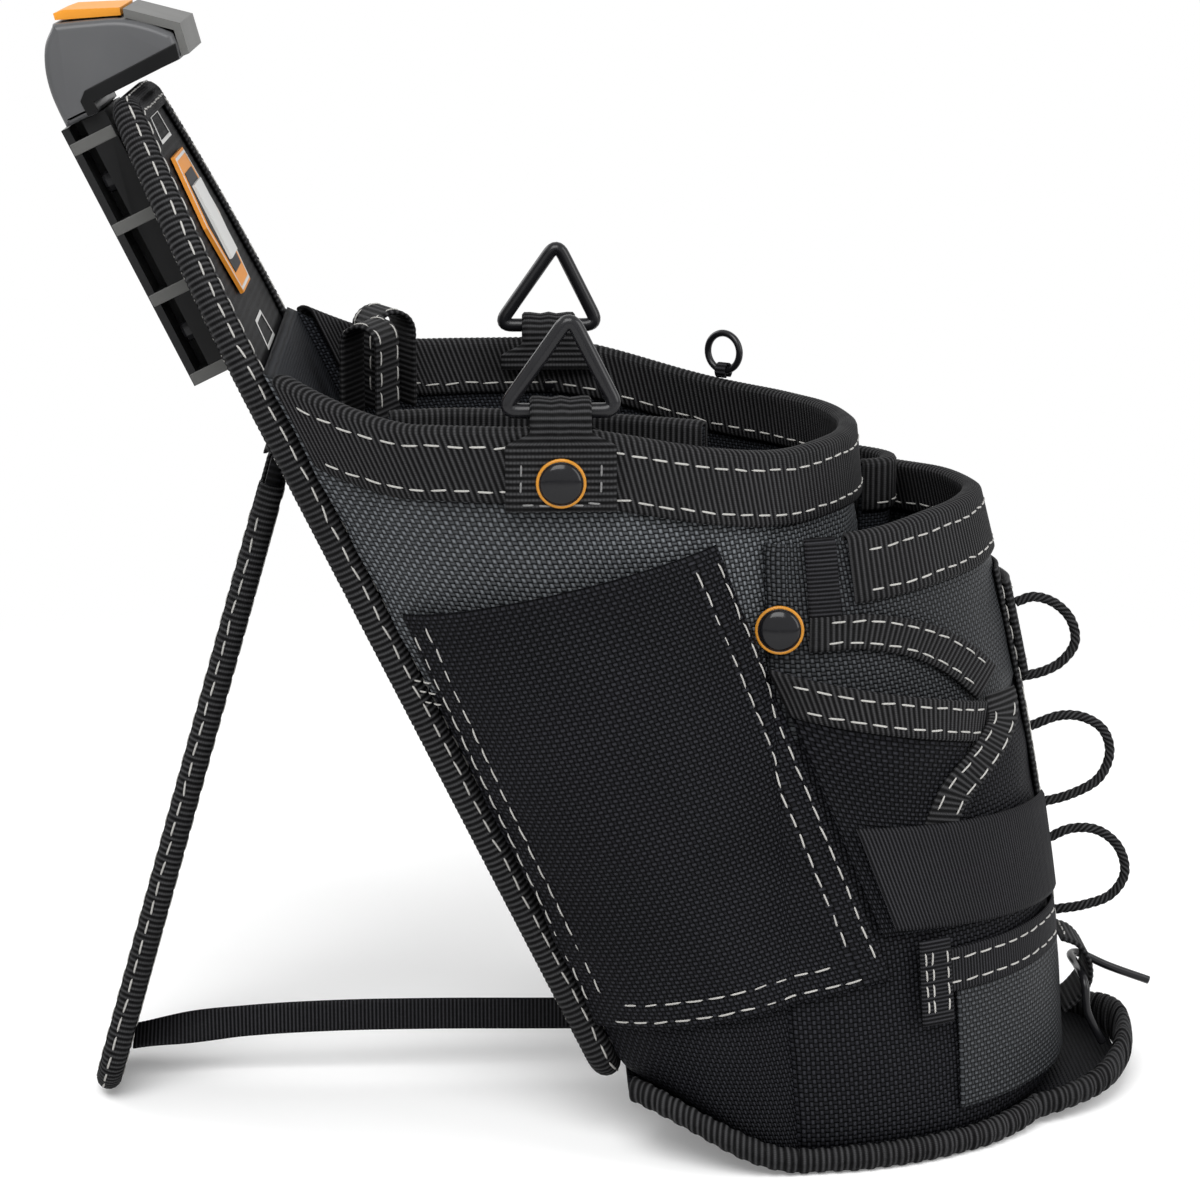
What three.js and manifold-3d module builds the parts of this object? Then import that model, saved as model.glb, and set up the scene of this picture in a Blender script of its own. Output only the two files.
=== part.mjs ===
// Electrician tool pouch on a fold-out stand, with a belt hub on its back board.
// Millimetres, +Z up. +X is the front of the pouch, -Y its near side. It stands on
// z = 0 on its bottom panel and on the foot of the open kickstand.
import * as THREE from 'three';
import { mergeVertices } from 'three/addons/utils/BufferGeometryUtils.js';
import Module from 'manifold-3d';

const wasm = await Module();
wasm.setup();

// ---------------------------------------------------------------- driving sizes
const GAP = 0.4;            // clearance between sewn layers
const FIT = 0.3;            // clearance between rigid pieces
const WEB = 1.5;            // thickness of ribbed webbing
const WALL = 2.4;           // thickness of a padded pocket wall

// The back board: a stiff panel that leans back.
const BOARD_LEAN = 64;      // degrees up from the floor
const BOARD_FOOT_X = 2;
const BOARD_FOOT_Z = 22;
const BOARD_LENGTH = 346;
const BOARD_THICK = 6;
const BOARD_HALF = 71;      // half width beside the main pocket
const BOARD_SHOULDER = 252; // where the upper panel starts to taper
const BOARD_TOP_HALF = 40;
const BOARD_CORNER = 12;
const BOARD_BIND = 10;      // width of the edge binding
const BOARD_BIND_THICK = 9;

// The main pocket, a D in plan whose flat back lies on the board.
const MAIN_HALF = 91;
const MAIN_FRONT_TOP = 82;  // front of the pocket at the rim
const MAIN_FRONT_SLOPE = 0.1;
const MAIN_WIDEST = 55;     // x of the widest station at the floor
const MAIN_WIDEST_SLOPE = 0.33;
const MAIN_RIM = 224;       // rim height at the front
const MAIN_RIM_SIDE = 13;   // extra height at the ring tabs
const MAIN_RIM_BACK = 22;   // extra height at the board
const MAIN_TAPE = 21;       // height of the rim tape

// The front pocket, a crescent in front of the main one.
const FRONT_CENTRE = 55;
const FRONT_BACK = 40;
const FRONT_REACH = 156;    // front of the pocket at the floor
const FRONT_LEAN = 32;      // how much less it reaches at its rim
const FRONT_RIM = 201;
const FRONT_HALF = 91;
const FRONT_TAPER = 17;     // how much narrower each half is at the rim
const FRONT_TAPE = 20;

// The bottom panel and its rolled edge.
const BASE_THICK = 3;
const BASE_BACK_RISE = 21;
const BASE_FRONT_RISE = 5;
const BASE_FLAT = [62, 115];
const BASE_NOSE = 174;
const BASE_NOSE_CENTRE = 128;
const BASE_NOSE_HALF = 52;
const BASE_EDGE_HALF = 3;
const BASE_EDGE_HEIGHT = 9;
const BASE_NOSE_HEIGHT = 17;
const POCKET_ROUND = 8;     // rounding of the pockets at the floor

// Sewn-on pockets and straps of each side, given in the side view as (x, z).
const SLEEVE = { bottomLeft: [-3, 43], bottomRight: [89, 60], topRight: [32, 201], topLeft: [-63, 179] };
const SLEEVE_BULGE = 7;
const SIDE_POCKET = { bottomLeft: [86, 74], bottomRight: [107, 74], topRight: [121, 141], topLeft: [50, 161] };
const SIDE_BULGE = 7;
const BAND_HEIGHT = 15;
const CURVED_TAPE_WIDTH = 11;
const CURVED_TAPE = [[62, 171], [80, 170.5], [98, 165], [112, 156], [122, 146]];
const STRAP_LOW = 76;
const STRAP_HIGH = 110;
const STRAP_FALL = 6;
const STRAP_START = [89, 77];
const LOWER_PANEL = { low: 14, high: 54, from: 55, to: 11 };

// The spine, its patch and the three cord loops.
const SPINE_HALF = 16;
const SPINE_LOW = 50;
const SPINE_HIGH = 178;
const SPINE_PATCH = { low: 141, high: 173, half: 14, thick: 2.4 };
const CORD = 3.4;
const CORD_ROUTES = [
  [[138.4, 163.2], [144, 165], [151, 163], [157, 157], [158.5, 149], [154, 142.5], [148, 139.3], [141.0, 137.7]],
  [[144.4, 120.5], [154, 124], [162, 123.5], [169, 119], [171.5, 111], [168, 102], [158.5, 96.5], [149.2, 94]],
  [[151, 81], [159, 84.5], [168, 84], [175.5, 78], [178, 68.5], [173.5, 61], [164.5, 57.5], [154.4, 56]],
];

// Ring tabs, triangle rings, rivets.
const TAB_X = -15;
const TAB_WIDTH = 34;
const TAB_FOLD_WIDTH = 18;  // where the tab goes round the ring
const TAB_DROP = 27;
const RING_WIRE = 4.7;
const RING_BASE = 35;
const RING_HEIGHT = 29;
const RIVET_HEAD = 15;
const RIVET_SHANK = 4;
const RIVET_Z = 223;
const LOWER_RIVET = [53, 173];
const SMALL_RING_X = 46;
const SMALL_RING_RADIUS = 6.5;
const SMALL_RING_WIRE = 2.4;

// The stand.
const STAND_HINGE = [222, -9.4];   // along the board, and behind its middle
const STAND_LEAN = 16.2;           // degrees from upright when open
const STAND_HALF = 30;
const STAND_THICK = 5;
const STAND_BIND = 9;
const STAND_BIND_THICK = 8;
const STAND_CORNER = 20;
const LIMIT_WIDTH = 11;
const LIMIT_ROUTE = [[-158.2, 14.5], [-146, 16.5], [-120, 19.5], [-90, 21], [-55, 21.3], [-25, 21], [-5.9, 20.8]];

// The belt hub, measured along the board (t) and out of it (s).
const HUB_LOW = 255;
const HUB_HIGH = 345;
const HUB_HALF = 24;
const HUB_RIBS = [257, 285, 310, 338];
const HUB_RIB = 4;
const HUB_FRONT = [-15.2, -7.2];
const HUB_BACK = [-22.4, -19.9];
const HUB_WEB_HALF = 9;
const RAIL_NECK_HALF = 7;
const RAIL_HEAD_HALF = 13;
const HOOD_HALF = 28;
const SCREW_HEAD = 7;
const SCREW_SHANK = 3.4;
const LABEL = { low: 274, high: 322, half: 25, thick: 1.2 };

// The tape hook at the bottom front.
const HOOK_WIRE = 2.8;
const HOOK_HALF = 15;
const HOOK_PIVOT = [162.7, 36];

// ---------------------------------------------------------------- materials
const cloth = (color, roughness = 0.9) => new THREE.MeshStandardMaterial({ color, roughness, metalness: 0 });
const BLACK_WEAVE = 0x15161a;
const GREY_WEAVE = 0x2c3238;
const WEBBING = 0x101012;
const metal = (color, roughness) => new THREE.MeshStandardMaterial({ color, roughness, metalness: 0.6 });
const plastic = (color) => new THREE.MeshStandardMaterial({ color, roughness: 0.45, metalness: 0 });

// ---------------------------------------------------------------- small maths
const radians = THREE.MathUtils.degToRad;
const mix = THREE.MathUtils.lerp;
const smooth = (value) => THREE.MathUtils.smoothstep(value, 0, 1);
const UP_X = -Math.cos(radians(BOARD_LEAN));
const UP_Z = Math.sin(radians(BOARD_LEAN));

// ---------------------------------------------------------------- solids
function closedGeometry(points, triangles) {
  let volume = 0;
  for (const [a, b, c] of triangles) {
    volume += points[a].dot(new THREE.Vector3().crossVectors(points[b], points[c]));
  }
  const geometry = new THREE.BufferGeometry().setFromPoints(points);
  geometry.setIndex(triangles.flatMap(([a, b, c]) => (volume < 0 ? [a, c, b] : [a, b, c])));
  return geometry;
}

// Joins closed sections, each a list of points, into a solid with flat ends.
function sweep(sections, outline) {
  const count = outline.length;
  const triangles = [];
  for (let row = 0; row + 1 < sections.length; row += 1) {
    for (let i = 0; i < count; i += 1) {
      const j = (i + 1) % count;
      const a = row * count;
      triangles.push([a + i, a + j, a + count + j], [a + i, a + count + j, a + count + i]);
    }
  }
  const last = (sections.length - 1) * count;
  for (const [a, b, c] of THREE.ShapeUtils.triangulateShape(outline, [])) {
    const turned = THREE.ShapeUtils.isClockWise(outline) ? [a, b, c] : [a, c, b];
    triangles.push(turned);
    triangles.push([last + turned[0], last + turned[2], last + turned[1]]);
  }
  return closedGeometry(sections.flat(), triangles);
}

// Joins rings that each go round a vertical hollow, with a fan over each end.
function loft(rings) {
  const count = rings[0].length;
  const points = rings.flat();
  const triangles = [];
  for (let row = 0; row + 1 < rings.length; row += 1) {
    for (let i = 0; i < count; i += 1) {
      const j = (i + 1) % count;
      const a = row * count;
      triangles.push([a + i, a + j, a + count + j], [a + i, a + count + j, a + count + i]);
    }
  }
  for (const ring of [0, rings.length - 1]) {
    const centre = new THREE.Vector3();
    rings[ring].forEach((point) => centre.addScaledVector(point, 1 / count));
    const hub = points.push(centre) - 1;
    for (let i = 0; i < count; i += 1) {
      const edge = [ring * count + i, ring * count + ((i + 1) % count)];
      triangles.push(ring === 0 ? [edge[1], edge[0], hub] : [edge[0], edge[1], hub]);
    }
  }
  return closedGeometry(points, triangles);
}

// A sheet over a surface: place(s, t, d) gives the point at offset d, and the sheet
// fills from inner(s, t) to outer(s, t).
function sheet(place, columns, rows, inner, outer) {
  const points = [];
  for (const depth of [inner, outer]) {
    for (let r = 0; r <= rows; r += 1) {
      for (let c = 0; c <= columns; c += 1) {
        const s = c / columns;
        const t = r / rows;
        points.push(place(s, t, depth(s, t)));
      }
    }
  }
  const wide = columns + 1;
  const layer = wide * (rows + 1);
  const triangles = [];
  const quad = (a, b, c, d) => triangles.push([a, b, c], [a, c, d]);
  for (let r = 0; r < rows; r += 1) {
    for (let c = 0; c < columns; c += 1) {
      const a = r * wide + c;
      quad(layer + a, layer + a + 1, layer + a + wide + 1, layer + a + wide);
      quad(a, a + wide, a + wide + 1, a + 1);
    }
  }
  for (let c = 0; c < columns; c += 1) {
    const top = rows * wide + c;
    quad(c, c + 1, layer + c + 1, layer + c);
    quad(top + 1, top, layer + top, layer + top + 1);
  }
  for (let r = 0; r < rows; r += 1) {
    const left = r * wide;
    const right = left + columns;
    quad(left + wide, left, layer + left, layer + left + wide);
    quad(right, right + wide, layer + right + wide, layer + right);
  }
  return closedGeometry(points, triangles);
}

function toSolid(geometry) {
  const bare = geometry.clone();
  bare.deleteAttribute('normal');
  bare.deleteAttribute('uv');
  const merged = mergeVertices(bare, 1e-4);
  return new wasm.Manifold(new wasm.Mesh({
    numProp: 3,
    vertProperties: new Float32Array(merged.attributes.position.array),
    triVerts: new Uint32Array(merged.index.array),
  }));
}

function toGeometry(solid) {
  const mesh = solid.getMesh();
  const geometry = new THREE.BufferGeometry();
  geometry.setAttribute('position', new THREE.BufferAttribute(mesh.vertProperties, 3));
  geometry.setIndex(new THREE.BufferAttribute(mesh.triVerts, 1));
  return geometry;
}

const cut = (geometry, ...tools) => toGeometry(
  tools.reduce((solid, tool) => solid.subtract(toSolid(tool)), toSolid(geometry)),
);
const join = (geometry, ...others) => toGeometry(
  others.reduce((solid, other) => solid.add(toSolid(other)), toSolid(geometry)),
);

const group = new THREE.Group();
const boardGroup = new THREE.Group();
const standGroup = new THREE.Group();
group.add(boardGroup, standGroup);

function add(name, geometry, material, parent = group) {
  const mesh = new THREE.Mesh(geometry, material);
  mesh.name = name;
  parent.add(mesh);
  return mesh;
}

// ---------------------------------------------------------------- the pouch's surfaces
// A point t along the board and s out of its middle.
function boardPoint(t, s, y = 0) {
  return new THREE.Vector3(BOARD_FOOT_X + t * UP_X + s * UP_Z, y, BOARD_FOOT_Z + t * UP_Z - s * UP_X);
}

const BOARD_FACE = BOARD_BIND_THICK / 2 + GAP;   // where the pocket's back wall starts
function boardX(z, s) {
  const t = (z - BOARD_FOOT_Z + s * UP_X) / UP_Z;
  return boardPoint(t, s).x;
}

function baseHeight(x) {
  const back = smooth((BASE_FLAT[0] - x) / (BASE_FLAT[0] - BOARD_FOOT_X));
  const front = smooth((x - BASE_FLAT[1]) / (BASE_NOSE - BASE_FLAT[1]));
  return BASE_BACK_RISE * back + BASE_FRONT_RISE * front;
}
const floorHeight = (x) => baseHeight(x) + BASE_THICK + GAP;

function rimHeight(x) {
  const side = smooth((60 - x) / 80);
  const back = Math.max(0, (-x - 60) / 55);
  return MAIN_RIM + MAIN_RIM_SIDE * side + MAIN_RIM_BACK * back ** 1.5;
}
const frontRimHeight = (x) => FRONT_RIM + 3 * smooth((x - 70) / 50) - 2;

// Half the turn of the main outline, from its front round to its corner on the board.
const MAIN_TURN = Math.PI - Math.asin(BOARD_HALF / MAIN_HALF);
function mainPoint(turn, z, inset = 0) {
  const centre = MAIN_WIDEST - MAIN_WIDEST_SLOPE * z;
  const front = MAIN_FRONT_TOP + MAIN_FRONT_SLOPE * (MAIN_RIM - z) - inset;
  const back = boardX(z, BOARD_FACE + inset);
  const reach = Math.cos(turn) > 0 ? front - centre : (centre - back) / Math.abs(Math.cos(MAIN_TURN));
  return new THREE.Vector3(centre + reach * Math.cos(turn), (MAIN_HALF - inset) * Math.sin(turn), z);
}

// The front outline is an ellipse low down and grows more pointed towards its rim.
const frontPower = (z) => 2 - 0.35 * THREE.MathUtils.clamp((z - 107) / 96, 0, 1);
function frontPoint(turn, z, inset = 0) {
  const power = frontPower(z);
  const tip = FRONT_REACH - FRONT_LEAN * (Math.max(z, 0) / FRONT_RIM) ** 1.6 - inset;
  const reach = Math.cos(turn) > 0 ? tip - FRONT_CENTRE : FRONT_BACK - inset;
  const half = FRONT_HALF - FRONT_TAPER * (z / FRONT_RIM) - inset;
  const along = Math.sign(Math.cos(turn)) * Math.abs(Math.cos(turn)) ** (2 / power);
  const across = Math.sign(Math.sin(turn)) * Math.abs(Math.sin(turn)) ** (2 / power);
  return new THREE.Vector3(FRONT_CENTRE + reach * along, half * across, z);
}

// A pocket point at the share v of the way from its floor to its rim.
function pocketPoint(outline, rim, turn, v, inset, rise = 0) {
  let place = outline(turn, mix(BOARD_FOOT_Z, MAIN_RIM, v), inset);
  for (let pass = 0; pass < 3; pass += 1) {
    const floor = floorHeight(place.x);
    const height = mix(floor, rim(place.x), v) + rise;
    const low = THREE.MathUtils.clamp(1 - (height - floor) / POCKET_ROUND, 0, 1);
    const rounding = POCKET_ROUND * (1 - Math.sqrt(1 - low * low));
    place = outline(turn, height, inset + rounding * 0.7);
  }
  return place;
}

// Half width of the pouch at x and z: the wider of the two pockets.
function halfWidth(x, z) {
  const centre = MAIN_WIDEST - MAIN_WIDEST_SLOPE * z;
  const edge = mainPoint(x > centre ? 0 : Math.PI, z).x;
  const mainShare = THREE.MathUtils.clamp((x - centre) / (edge - centre), 0, 1);
  const main = MAIN_HALF * Math.sqrt(1 - mainShare ** 2);
  if (z > FRONT_RIM || x < FRONT_CENTRE - FRONT_BACK) {
    return main;
  }
  const power = x > FRONT_CENTRE ? frontPower(z) : 2;
  const tip = frontPoint(x > FRONT_CENTRE ? 0 : Math.PI, z).x;
  const share = THREE.MathUtils.clamp((x - FRONT_CENTRE) / (tip - FRONT_CENTRE), 0, 1);
  const front = frontPoint(Math.PI / 2, z).y * (1 - share ** power) ** (1 / power);
  return Math.max(main, front);
}

// The point of the side wall at (x, z), moved out by d along the wall's normal.
function sidePoint(side, x, z, d) {
  const step = 2;
  const slopeX = (halfWidth(x + step, z) - halfWidth(x - step, z)) / (2 * step);
  const slopeZ = (halfWidth(x, z + step) - halfWidth(x, z - step)) / (2 * step);
  const normal = new THREE.Vector3(-slopeX, side, -slopeZ).normalize();
  return new THREE.Vector3(x, side * halfWidth(x, z), z).addScaledVector(normal, d);
}

function patchPlace(side, corners) {
  const { bottomLeft, bottomRight, topRight, topLeft } = corners;
  return (s, t, d) => {
    const x = mix(mix(bottomLeft[0], bottomRight[0], s), mix(topLeft[0], topRight[0], s), t);
    const z = mix(mix(bottomLeft[1], bottomRight[1], s), mix(topLeft[1], topRight[1], s), t);
    return sidePoint(side, x, z, d);
  };
}

// ---------------------------------------------------------------- pocket shells
const MAIN_STEPS = 36;
const BACK_STEPS = 4;
const mainLevels = [0, 0.015, 0.04, 0.3, 0.6, 1];

function mainRing(v, inset, rise = 0) {
  const ring = [];
  for (let i = 0; i <= MAIN_STEPS; i += 1) {
    const turn = mix(-MAIN_TURN, MAIN_TURN, i / MAIN_STEPS);
    ring.push(pocketPoint(mainPoint, rimHeight, turn, v, inset, rise));
  }
  const [near, far] = [ring[0], ring[MAIN_STEPS]];
  for (let i = 1; i < BACK_STEPS; i += 1) {
    ring.push(far.clone().lerp(near, i / BACK_STEPS));
  }
  return ring;
}

const FRONT_STEPS = 36;
function frontRing(v, inset, rise = 0) {
  const ring = [];
  for (let i = 0; i < FRONT_STEPS; i += 1) {
    const turn = (2 * Math.PI * i) / FRONT_STEPS;
    ring.push(pocketPoint(frontPoint, frontRimHeight, turn, v, inset, rise));
  }
  return ring;
}

const OVERSHOOT = 12;
const mainOuter = loft(mainLevels.map((v) => mainRing(v, 0)));
const mainInner = loft([
  mainRing(0, WALL, WALL),
  ...mainLevels.slice(1, -1).map((v) => mainRing(v, WALL, WALL)),
  mainRing(1, WALL),
  mainRing(1, WALL, OVERSHOOT),
]);
const mainClearance = loft([
  mainRing(0, -GAP, -2 * OVERSHOOT),
  ...mainLevels.map((v) => mainRing(v, -GAP)),
]);
const frontLevels = [0, 0.02, 0.05, 0.3, 0.54, 0.75, 0.9, 1];
const frontOuter = loft(frontLevels.map((v) => frontRing(v, 0)));
const frontInner = loft([
  ...frontLevels.slice(0, -1).map((v) => frontRing(v, WALL, WALL)),
  frontRing(1, WALL),
  frontRing(1, WALL, OVERSHOOT),
]);

// ---------------------------------------------------------------- rivets
function along(axis, geometry) {
  const turn = new THREE.Quaternion().setFromUnitVectors(new THREE.Vector3(0, 1, 0), axis);
  return geometry.applyQuaternion(turn);
}

// A domed rivet with a collar, on an axis through the layers it holds. Heights run out
// along the axis.
function rivet(base, axis, inside, outside) {
  const head = RIVET_HEAD / 2;
  const profile = [
    new THREE.Vector2(0, inside),
    new THREE.Vector2(RIVET_SHANK / 2, inside),
    new THREE.Vector2(RIVET_SHANK / 2, outside),
    new THREE.Vector2(head + 0.6, outside),
    new THREE.Vector2(head + 0.6, outside + 1),
  ];
  for (let i = 0; i <= 3; i += 1) {
    const angle = (Math.PI / 2) * (i / 3);
    profile.push(new THREE.Vector2((head - 1.4) * Math.cos(angle), outside + 1 + 2 * Math.sin(angle)));
  }
  const body = along(axis, new THREE.LatheGeometry(profile, 16));
  return body.translate(base.x, base.y, base.z);
}

function rivetHole(base, axis) {
  const length = 34;
  const hole = new THREE.CylinderGeometry(RIVET_SHANK / 2 + FIT, RIVET_SHANK / 2 + FIT, length, 12);
  return along(axis, hole).translate(base.x, base.y, base.z);
}

const SIDES = [['near', -1], ['far', 1]];
const upperRivets = SIDES.map(([name, side]) => ({
  name,
  base: new THREE.Vector3(TAB_X, side * MAIN_HALF, RIVET_Z),
  axis: new THREE.Vector3(0, side, 0),
}));
const lowerRivets = SIDES.map(([name, side]) => {
  const base = sidePoint(side, LOWER_RIVET[0], LOWER_RIVET[1], 0);
  const axis = sidePoint(side, LOWER_RIVET[0], LOWER_RIVET[1], 1).sub(base);
  return { name, base, axis };
});
const upperHoles = upperRivets.map(({ base, axis }) => rivetHole(base, axis));
const lowerHoles = lowerRivets.map(({ base, axis }) => rivetHole(base, axis));

// ---------------------------------------------------------------- rim tapes
// Webbing folded over a pocket's edge, with the same drop on both sides.
function foldedTape(outline, rim, from, to, steps, drop) {
  const outside = GAP + WEB;
  const inside = -WALL - GAP;
  const profile = [
    [outside, -drop], [outside, GAP + WEB], [inside - WEB, GAP + WEB], [inside - WEB, -drop],
    [inside, -drop], [inside, GAP], [GAP, GAP], [GAP, -drop],
  ];
  const sections = [];
  for (let i = 0; i <= steps; i += 1) {
    const turn = mix(from, to, i / steps);
    sections.push(profile.map(([out, rise]) => {
      const edge = pocketPoint(outline, rim, turn, 1, 0, rise);
      return new THREE.Vector3().copy(outline(turn, edge.z, -out)).setZ(edge.z);
    }));
  }
  return sweep(sections, profile.map(([a, b]) => new THREE.Vector2(a, b)));
}

const TAPE_TURN = MAIN_TURN - 0.035;
add('main_pocket_shell', cut(mainOuter, mainInner, ...upperHoles, ...lowerHoles), cloth(GREY_WEAVE));
add('main_rim_tape',
  cut(foldedTape(mainPoint, rimHeight, -TAPE_TURN, TAPE_TURN, MAIN_STEPS, MAIN_TAPE), ...upperHoles),
  cloth(WEBBING, 0.8));
add('front_pocket_shell', cut(frontOuter, frontInner, mainClearance, ...lowerHoles), cloth(BLACK_WEAVE));
const FRONT_TAPE_STEPS = 14;    // as many of the shell's own steps
const FRONT_TAPE_TURN = (Math.PI * FRONT_TAPE_STEPS) / FRONT_STEPS;
add('front_rim_tape',
  foldedTape(frontPoint, frontRimHeight, -FRONT_TAPE_TURN, FRONT_TAPE_TURN, FRONT_TAPE_STEPS, FRONT_TAPE),
  cloth(WEBBING, 0.8));

// ---------------------------------------------------------------- inside the pockets
// An upright panel on a plan curve, with a webbing fold over its top edge.
function dividerPlace(route) {
  const curve = new THREE.CatmullRomCurve3(route.map(([x, y]) => new THREE.Vector3(x, y, 0)));
  return (s, d) => {
    const point = curve.getPoint(s);
    const ahead = curve.getTangent(s);
    return point.addScaledVector(new THREE.Vector3(-ahead.y, ahead.x, 0), d);
  };
}

function divider(route, low, high, thick) {
  const place = dividerPlace(route);
  return sheet((s, t, d) => place(s, d).setZ(mix(low, high, t)), 8, 1, () => -thick / 2, () => thick / 2);
}

function dividerTape(route, high, thick, drop) {
  const place = dividerPlace(route);
  const inner = thick / 2 + FIT;
  const outer = inner + WEB;
  const profile = [
    [outer, -drop], [outer, FIT + WEB], [-outer, FIT + WEB], [-outer, -drop],
    [-inner, -drop], [-inner, FIT], [inner, FIT], [inner, -drop],
  ];
  const sections = [];
  for (let i = 0; i <= 8; i += 1) {
    sections.push(profile.map(([out, rise]) => place(i / 8, out).setZ(high + rise)));
  }
  return sweep(sections, profile.map(([a, b]) => new THREE.Vector2(a, b)));
}

const DIVIDER_THICK = 2;
const INNER_ROUTE = [[-68, -50], [-48, -46], [-24, -50], [6, -60], [30, -71.6]];
const INNER_TOP = 236;
add('inner_divider', divider(INNER_ROUTE, INNER_TOP - 40, INNER_TOP, DIVIDER_THICK), cloth(BLACK_WEAVE));
add('inner_divider_tape', dividerTape(INNER_ROUTE, INNER_TOP, DIVIDER_THICK, 16), cloth(WEBBING, 0.8));
const FRONT_ROUTE = [[86.8, 16], [95.4, 20], [97.9, 30], [90.4, 41], [79.4, 47]];
const FRONT_DIVIDER_TOP = 207;
add('front_divider', divider(FRONT_ROUTE, FRONT_DIVIDER_TOP - 40, FRONT_DIVIDER_TOP, DIVIDER_THICK), cloth(BLACK_WEAVE));
add('front_divider_tape', dividerTape(FRONT_ROUTE, FRONT_DIVIDER_TOP, DIVIDER_THICK, 16), cloth(WEBBING, 0.8));

// Two webbing loops that cross over each other, sewn inside the far back corner.
function toolLoop(base, heading, height, span, width) {
  const half = span / 2;
  const shape = new THREE.Shape();
  shape.moveTo(-half, 0);
  shape.lineTo(-half, height - half);
  shape.absarc(0, height - half, half, Math.PI, 0, true);
  shape.lineTo(half, 0);
  shape.lineTo(half - WEB, 0);
  shape.lineTo(half - WEB, height - half);
  shape.absarc(0, height - half, half - WEB, 0, Math.PI, false);
  shape.lineTo(-half + WEB, 0);
  shape.closePath();
  const loop = new THREE.ExtrudeGeometry(shape, { depth: width, bevelEnabled: false, curveSegments: 6 });
  loop.translate(0, 0, -width / 2).rotateX(Math.PI / 2).rotateZ(radians(heading));
  return loop.translate(...base);
}
add('inner_tool_loop_1', toolLoop([-72, 63, 220], 25, 34, 16, 20), cloth(WEBBING, 0.8));
add('inner_tool_loop_2', toolLoop([-76, 30, 220], -20, 34, 14, 20), cloth(WEBBING, 0.8));

// ---------------------------------------------------------------- pockets and straps of each side
for (const [name, side] of SIDES) {
  // A sewn-on pocket stands open above the height `from` and is flat below it.
  const crown = (bulge, from) => (s, t) => (
    GAP + bulge * Math.sin(Math.PI * s) ** 0.7 * smooth((1.3 * (t - from)) / (1 - from)));
  const thicker = (depth, thick) => (s, t) => depth(s, t) + thick;
  const sleeveInner = crown(SLEEVE_BULGE, 0);
  add(`${name}_sleeve_pocket`,
    sheet(patchPlace(side, SLEEVE), 10, 6, sleeveInner, thicker(sleeveInner, 1.6)), cloth(BLACK_WEAVE));

  const pocketInner = crown(SIDE_BULGE, 0.43);
  add(`${name}_side_pocket`,
    sheet(patchPlace(side, SIDE_POCKET), 8, 6, pocketInner, thicker(pocketInner, 1.6)), cloth(BLACK_WEAVE));

  // The band lies over the side pocket's top edge.
  const place = patchPlace(side, SIDE_POCKET);
  const bandShare = BAND_HEIGHT / (SIDE_POCKET.topLeft[1] - SIDE_POCKET.bottomLeft[1]);
  const bandInner = (s) => GAP + SIDE_BULGE * Math.sin(Math.PI * s) ** 0.7 + 1.6 + GAP;
  add(`${name}_side_band`,
    sheet((s, t, d) => place(s, 1 - bandShare * (1 - t), d), 8, 1, bandInner, (s) => bandInner(s) + WEB),
    cloth(WEBBING, 0.8));

  // The curved tape runs over the pouch wall above the band.
  const curve = new THREE.CatmullRomCurve3(CURVED_TAPE.map(([x, z]) => new THREE.Vector3(x, 0, z)));
  const tapePlace = (s, t, d) => {
    const point = curve.getPoint(s);
    const ahead = curve.getTangent(s);
    const offset = CURVED_TAPE_WIDTH * (t - 0.5);
    return sidePoint(side, point.x - ahead.z * offset, point.z + ahead.x * offset, d);
  };
  add(`${name}_curved_tape`, sheet(tapePlace, 10, 1, () => GAP + FIT, () => GAP + FIT + WEB), cloth(WEBBING, 0.8));

  // The wide strap goes round the front pocket to the spine.
  const strapInner = GAP + 1.6 + GAP;
  const strapPlace = (s, t, d) => {
    const z = mix(STRAP_LOW, STRAP_HIGH, t) - STRAP_FALL * s;
    const startX = STRAP_START[0] - (z - STRAP_START[1]) * 0.38;
    const start = Math.acos((startX - FRONT_CENTRE) / (frontPoint(0, z).x - FRONT_CENTRE));
    const end = Math.asin((SPINE_HALF + 2.5) / frontPoint(Math.PI / 2, z).y);
    return frontPoint(side * mix(start, end, s), z, -d);
  };
  add(`${name}_tape_strap`,
    sheet(strapPlace, 14, 1, () => strapInner, () => strapInner + WEB), cloth(WEBBING, 0.8));

  const panelPlace = (s, t, d) => {
    const turn = radians(mix(LOWER_PANEL.from, LOWER_PANEL.to, s));
    return frontPoint(side * turn, mix(LOWER_PANEL.low, LOWER_PANEL.high, t), -d);
  };
  add(`${name}_lower_panel`, sheet(panelPlace, 9, 2, () => GAP, () => GAP + 1.6), cloth(GREY_WEAVE));
}

// ---------------------------------------------------------------- spine, patch, cords, tape hook
const spinePlace = (half, low, high) => (s, t, d) => {
  const z = mix(low, high, t);
  const y = mix(-half, half, s);
  const turn = Math.asin(y / frontPoint(Math.PI / 2, z).y);
  return frontPoint(turn, z, -d);
};
add('front_spine', sheet(spinePlace(SPINE_HALF, SPINE_LOW, SPINE_HIGH), 4, 6, () => GAP, () => GAP + WEB),
  cloth(WEBBING, 0.8));
const patchInner = GAP + WEB + GAP;
add('spine_patch',
  sheet(spinePlace(SPINE_PATCH.half, SPINE_PATCH.low, SPINE_PATCH.high), 4, 2,
    () => patchInner, () => patchInner + SPINE_PATCH.thick), cloth(WEBBING, 0.8));

function circleShape(radius, sides) {
  const points = [];
  for (let i = 0; i < sides; i += 1) {
    const angle = (2 * Math.PI * i) / sides;
    points.push(new THREE.Vector2(radius * Math.cos(angle), radius * Math.sin(angle)));
  }
  return new THREE.Shape(points);
}

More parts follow.
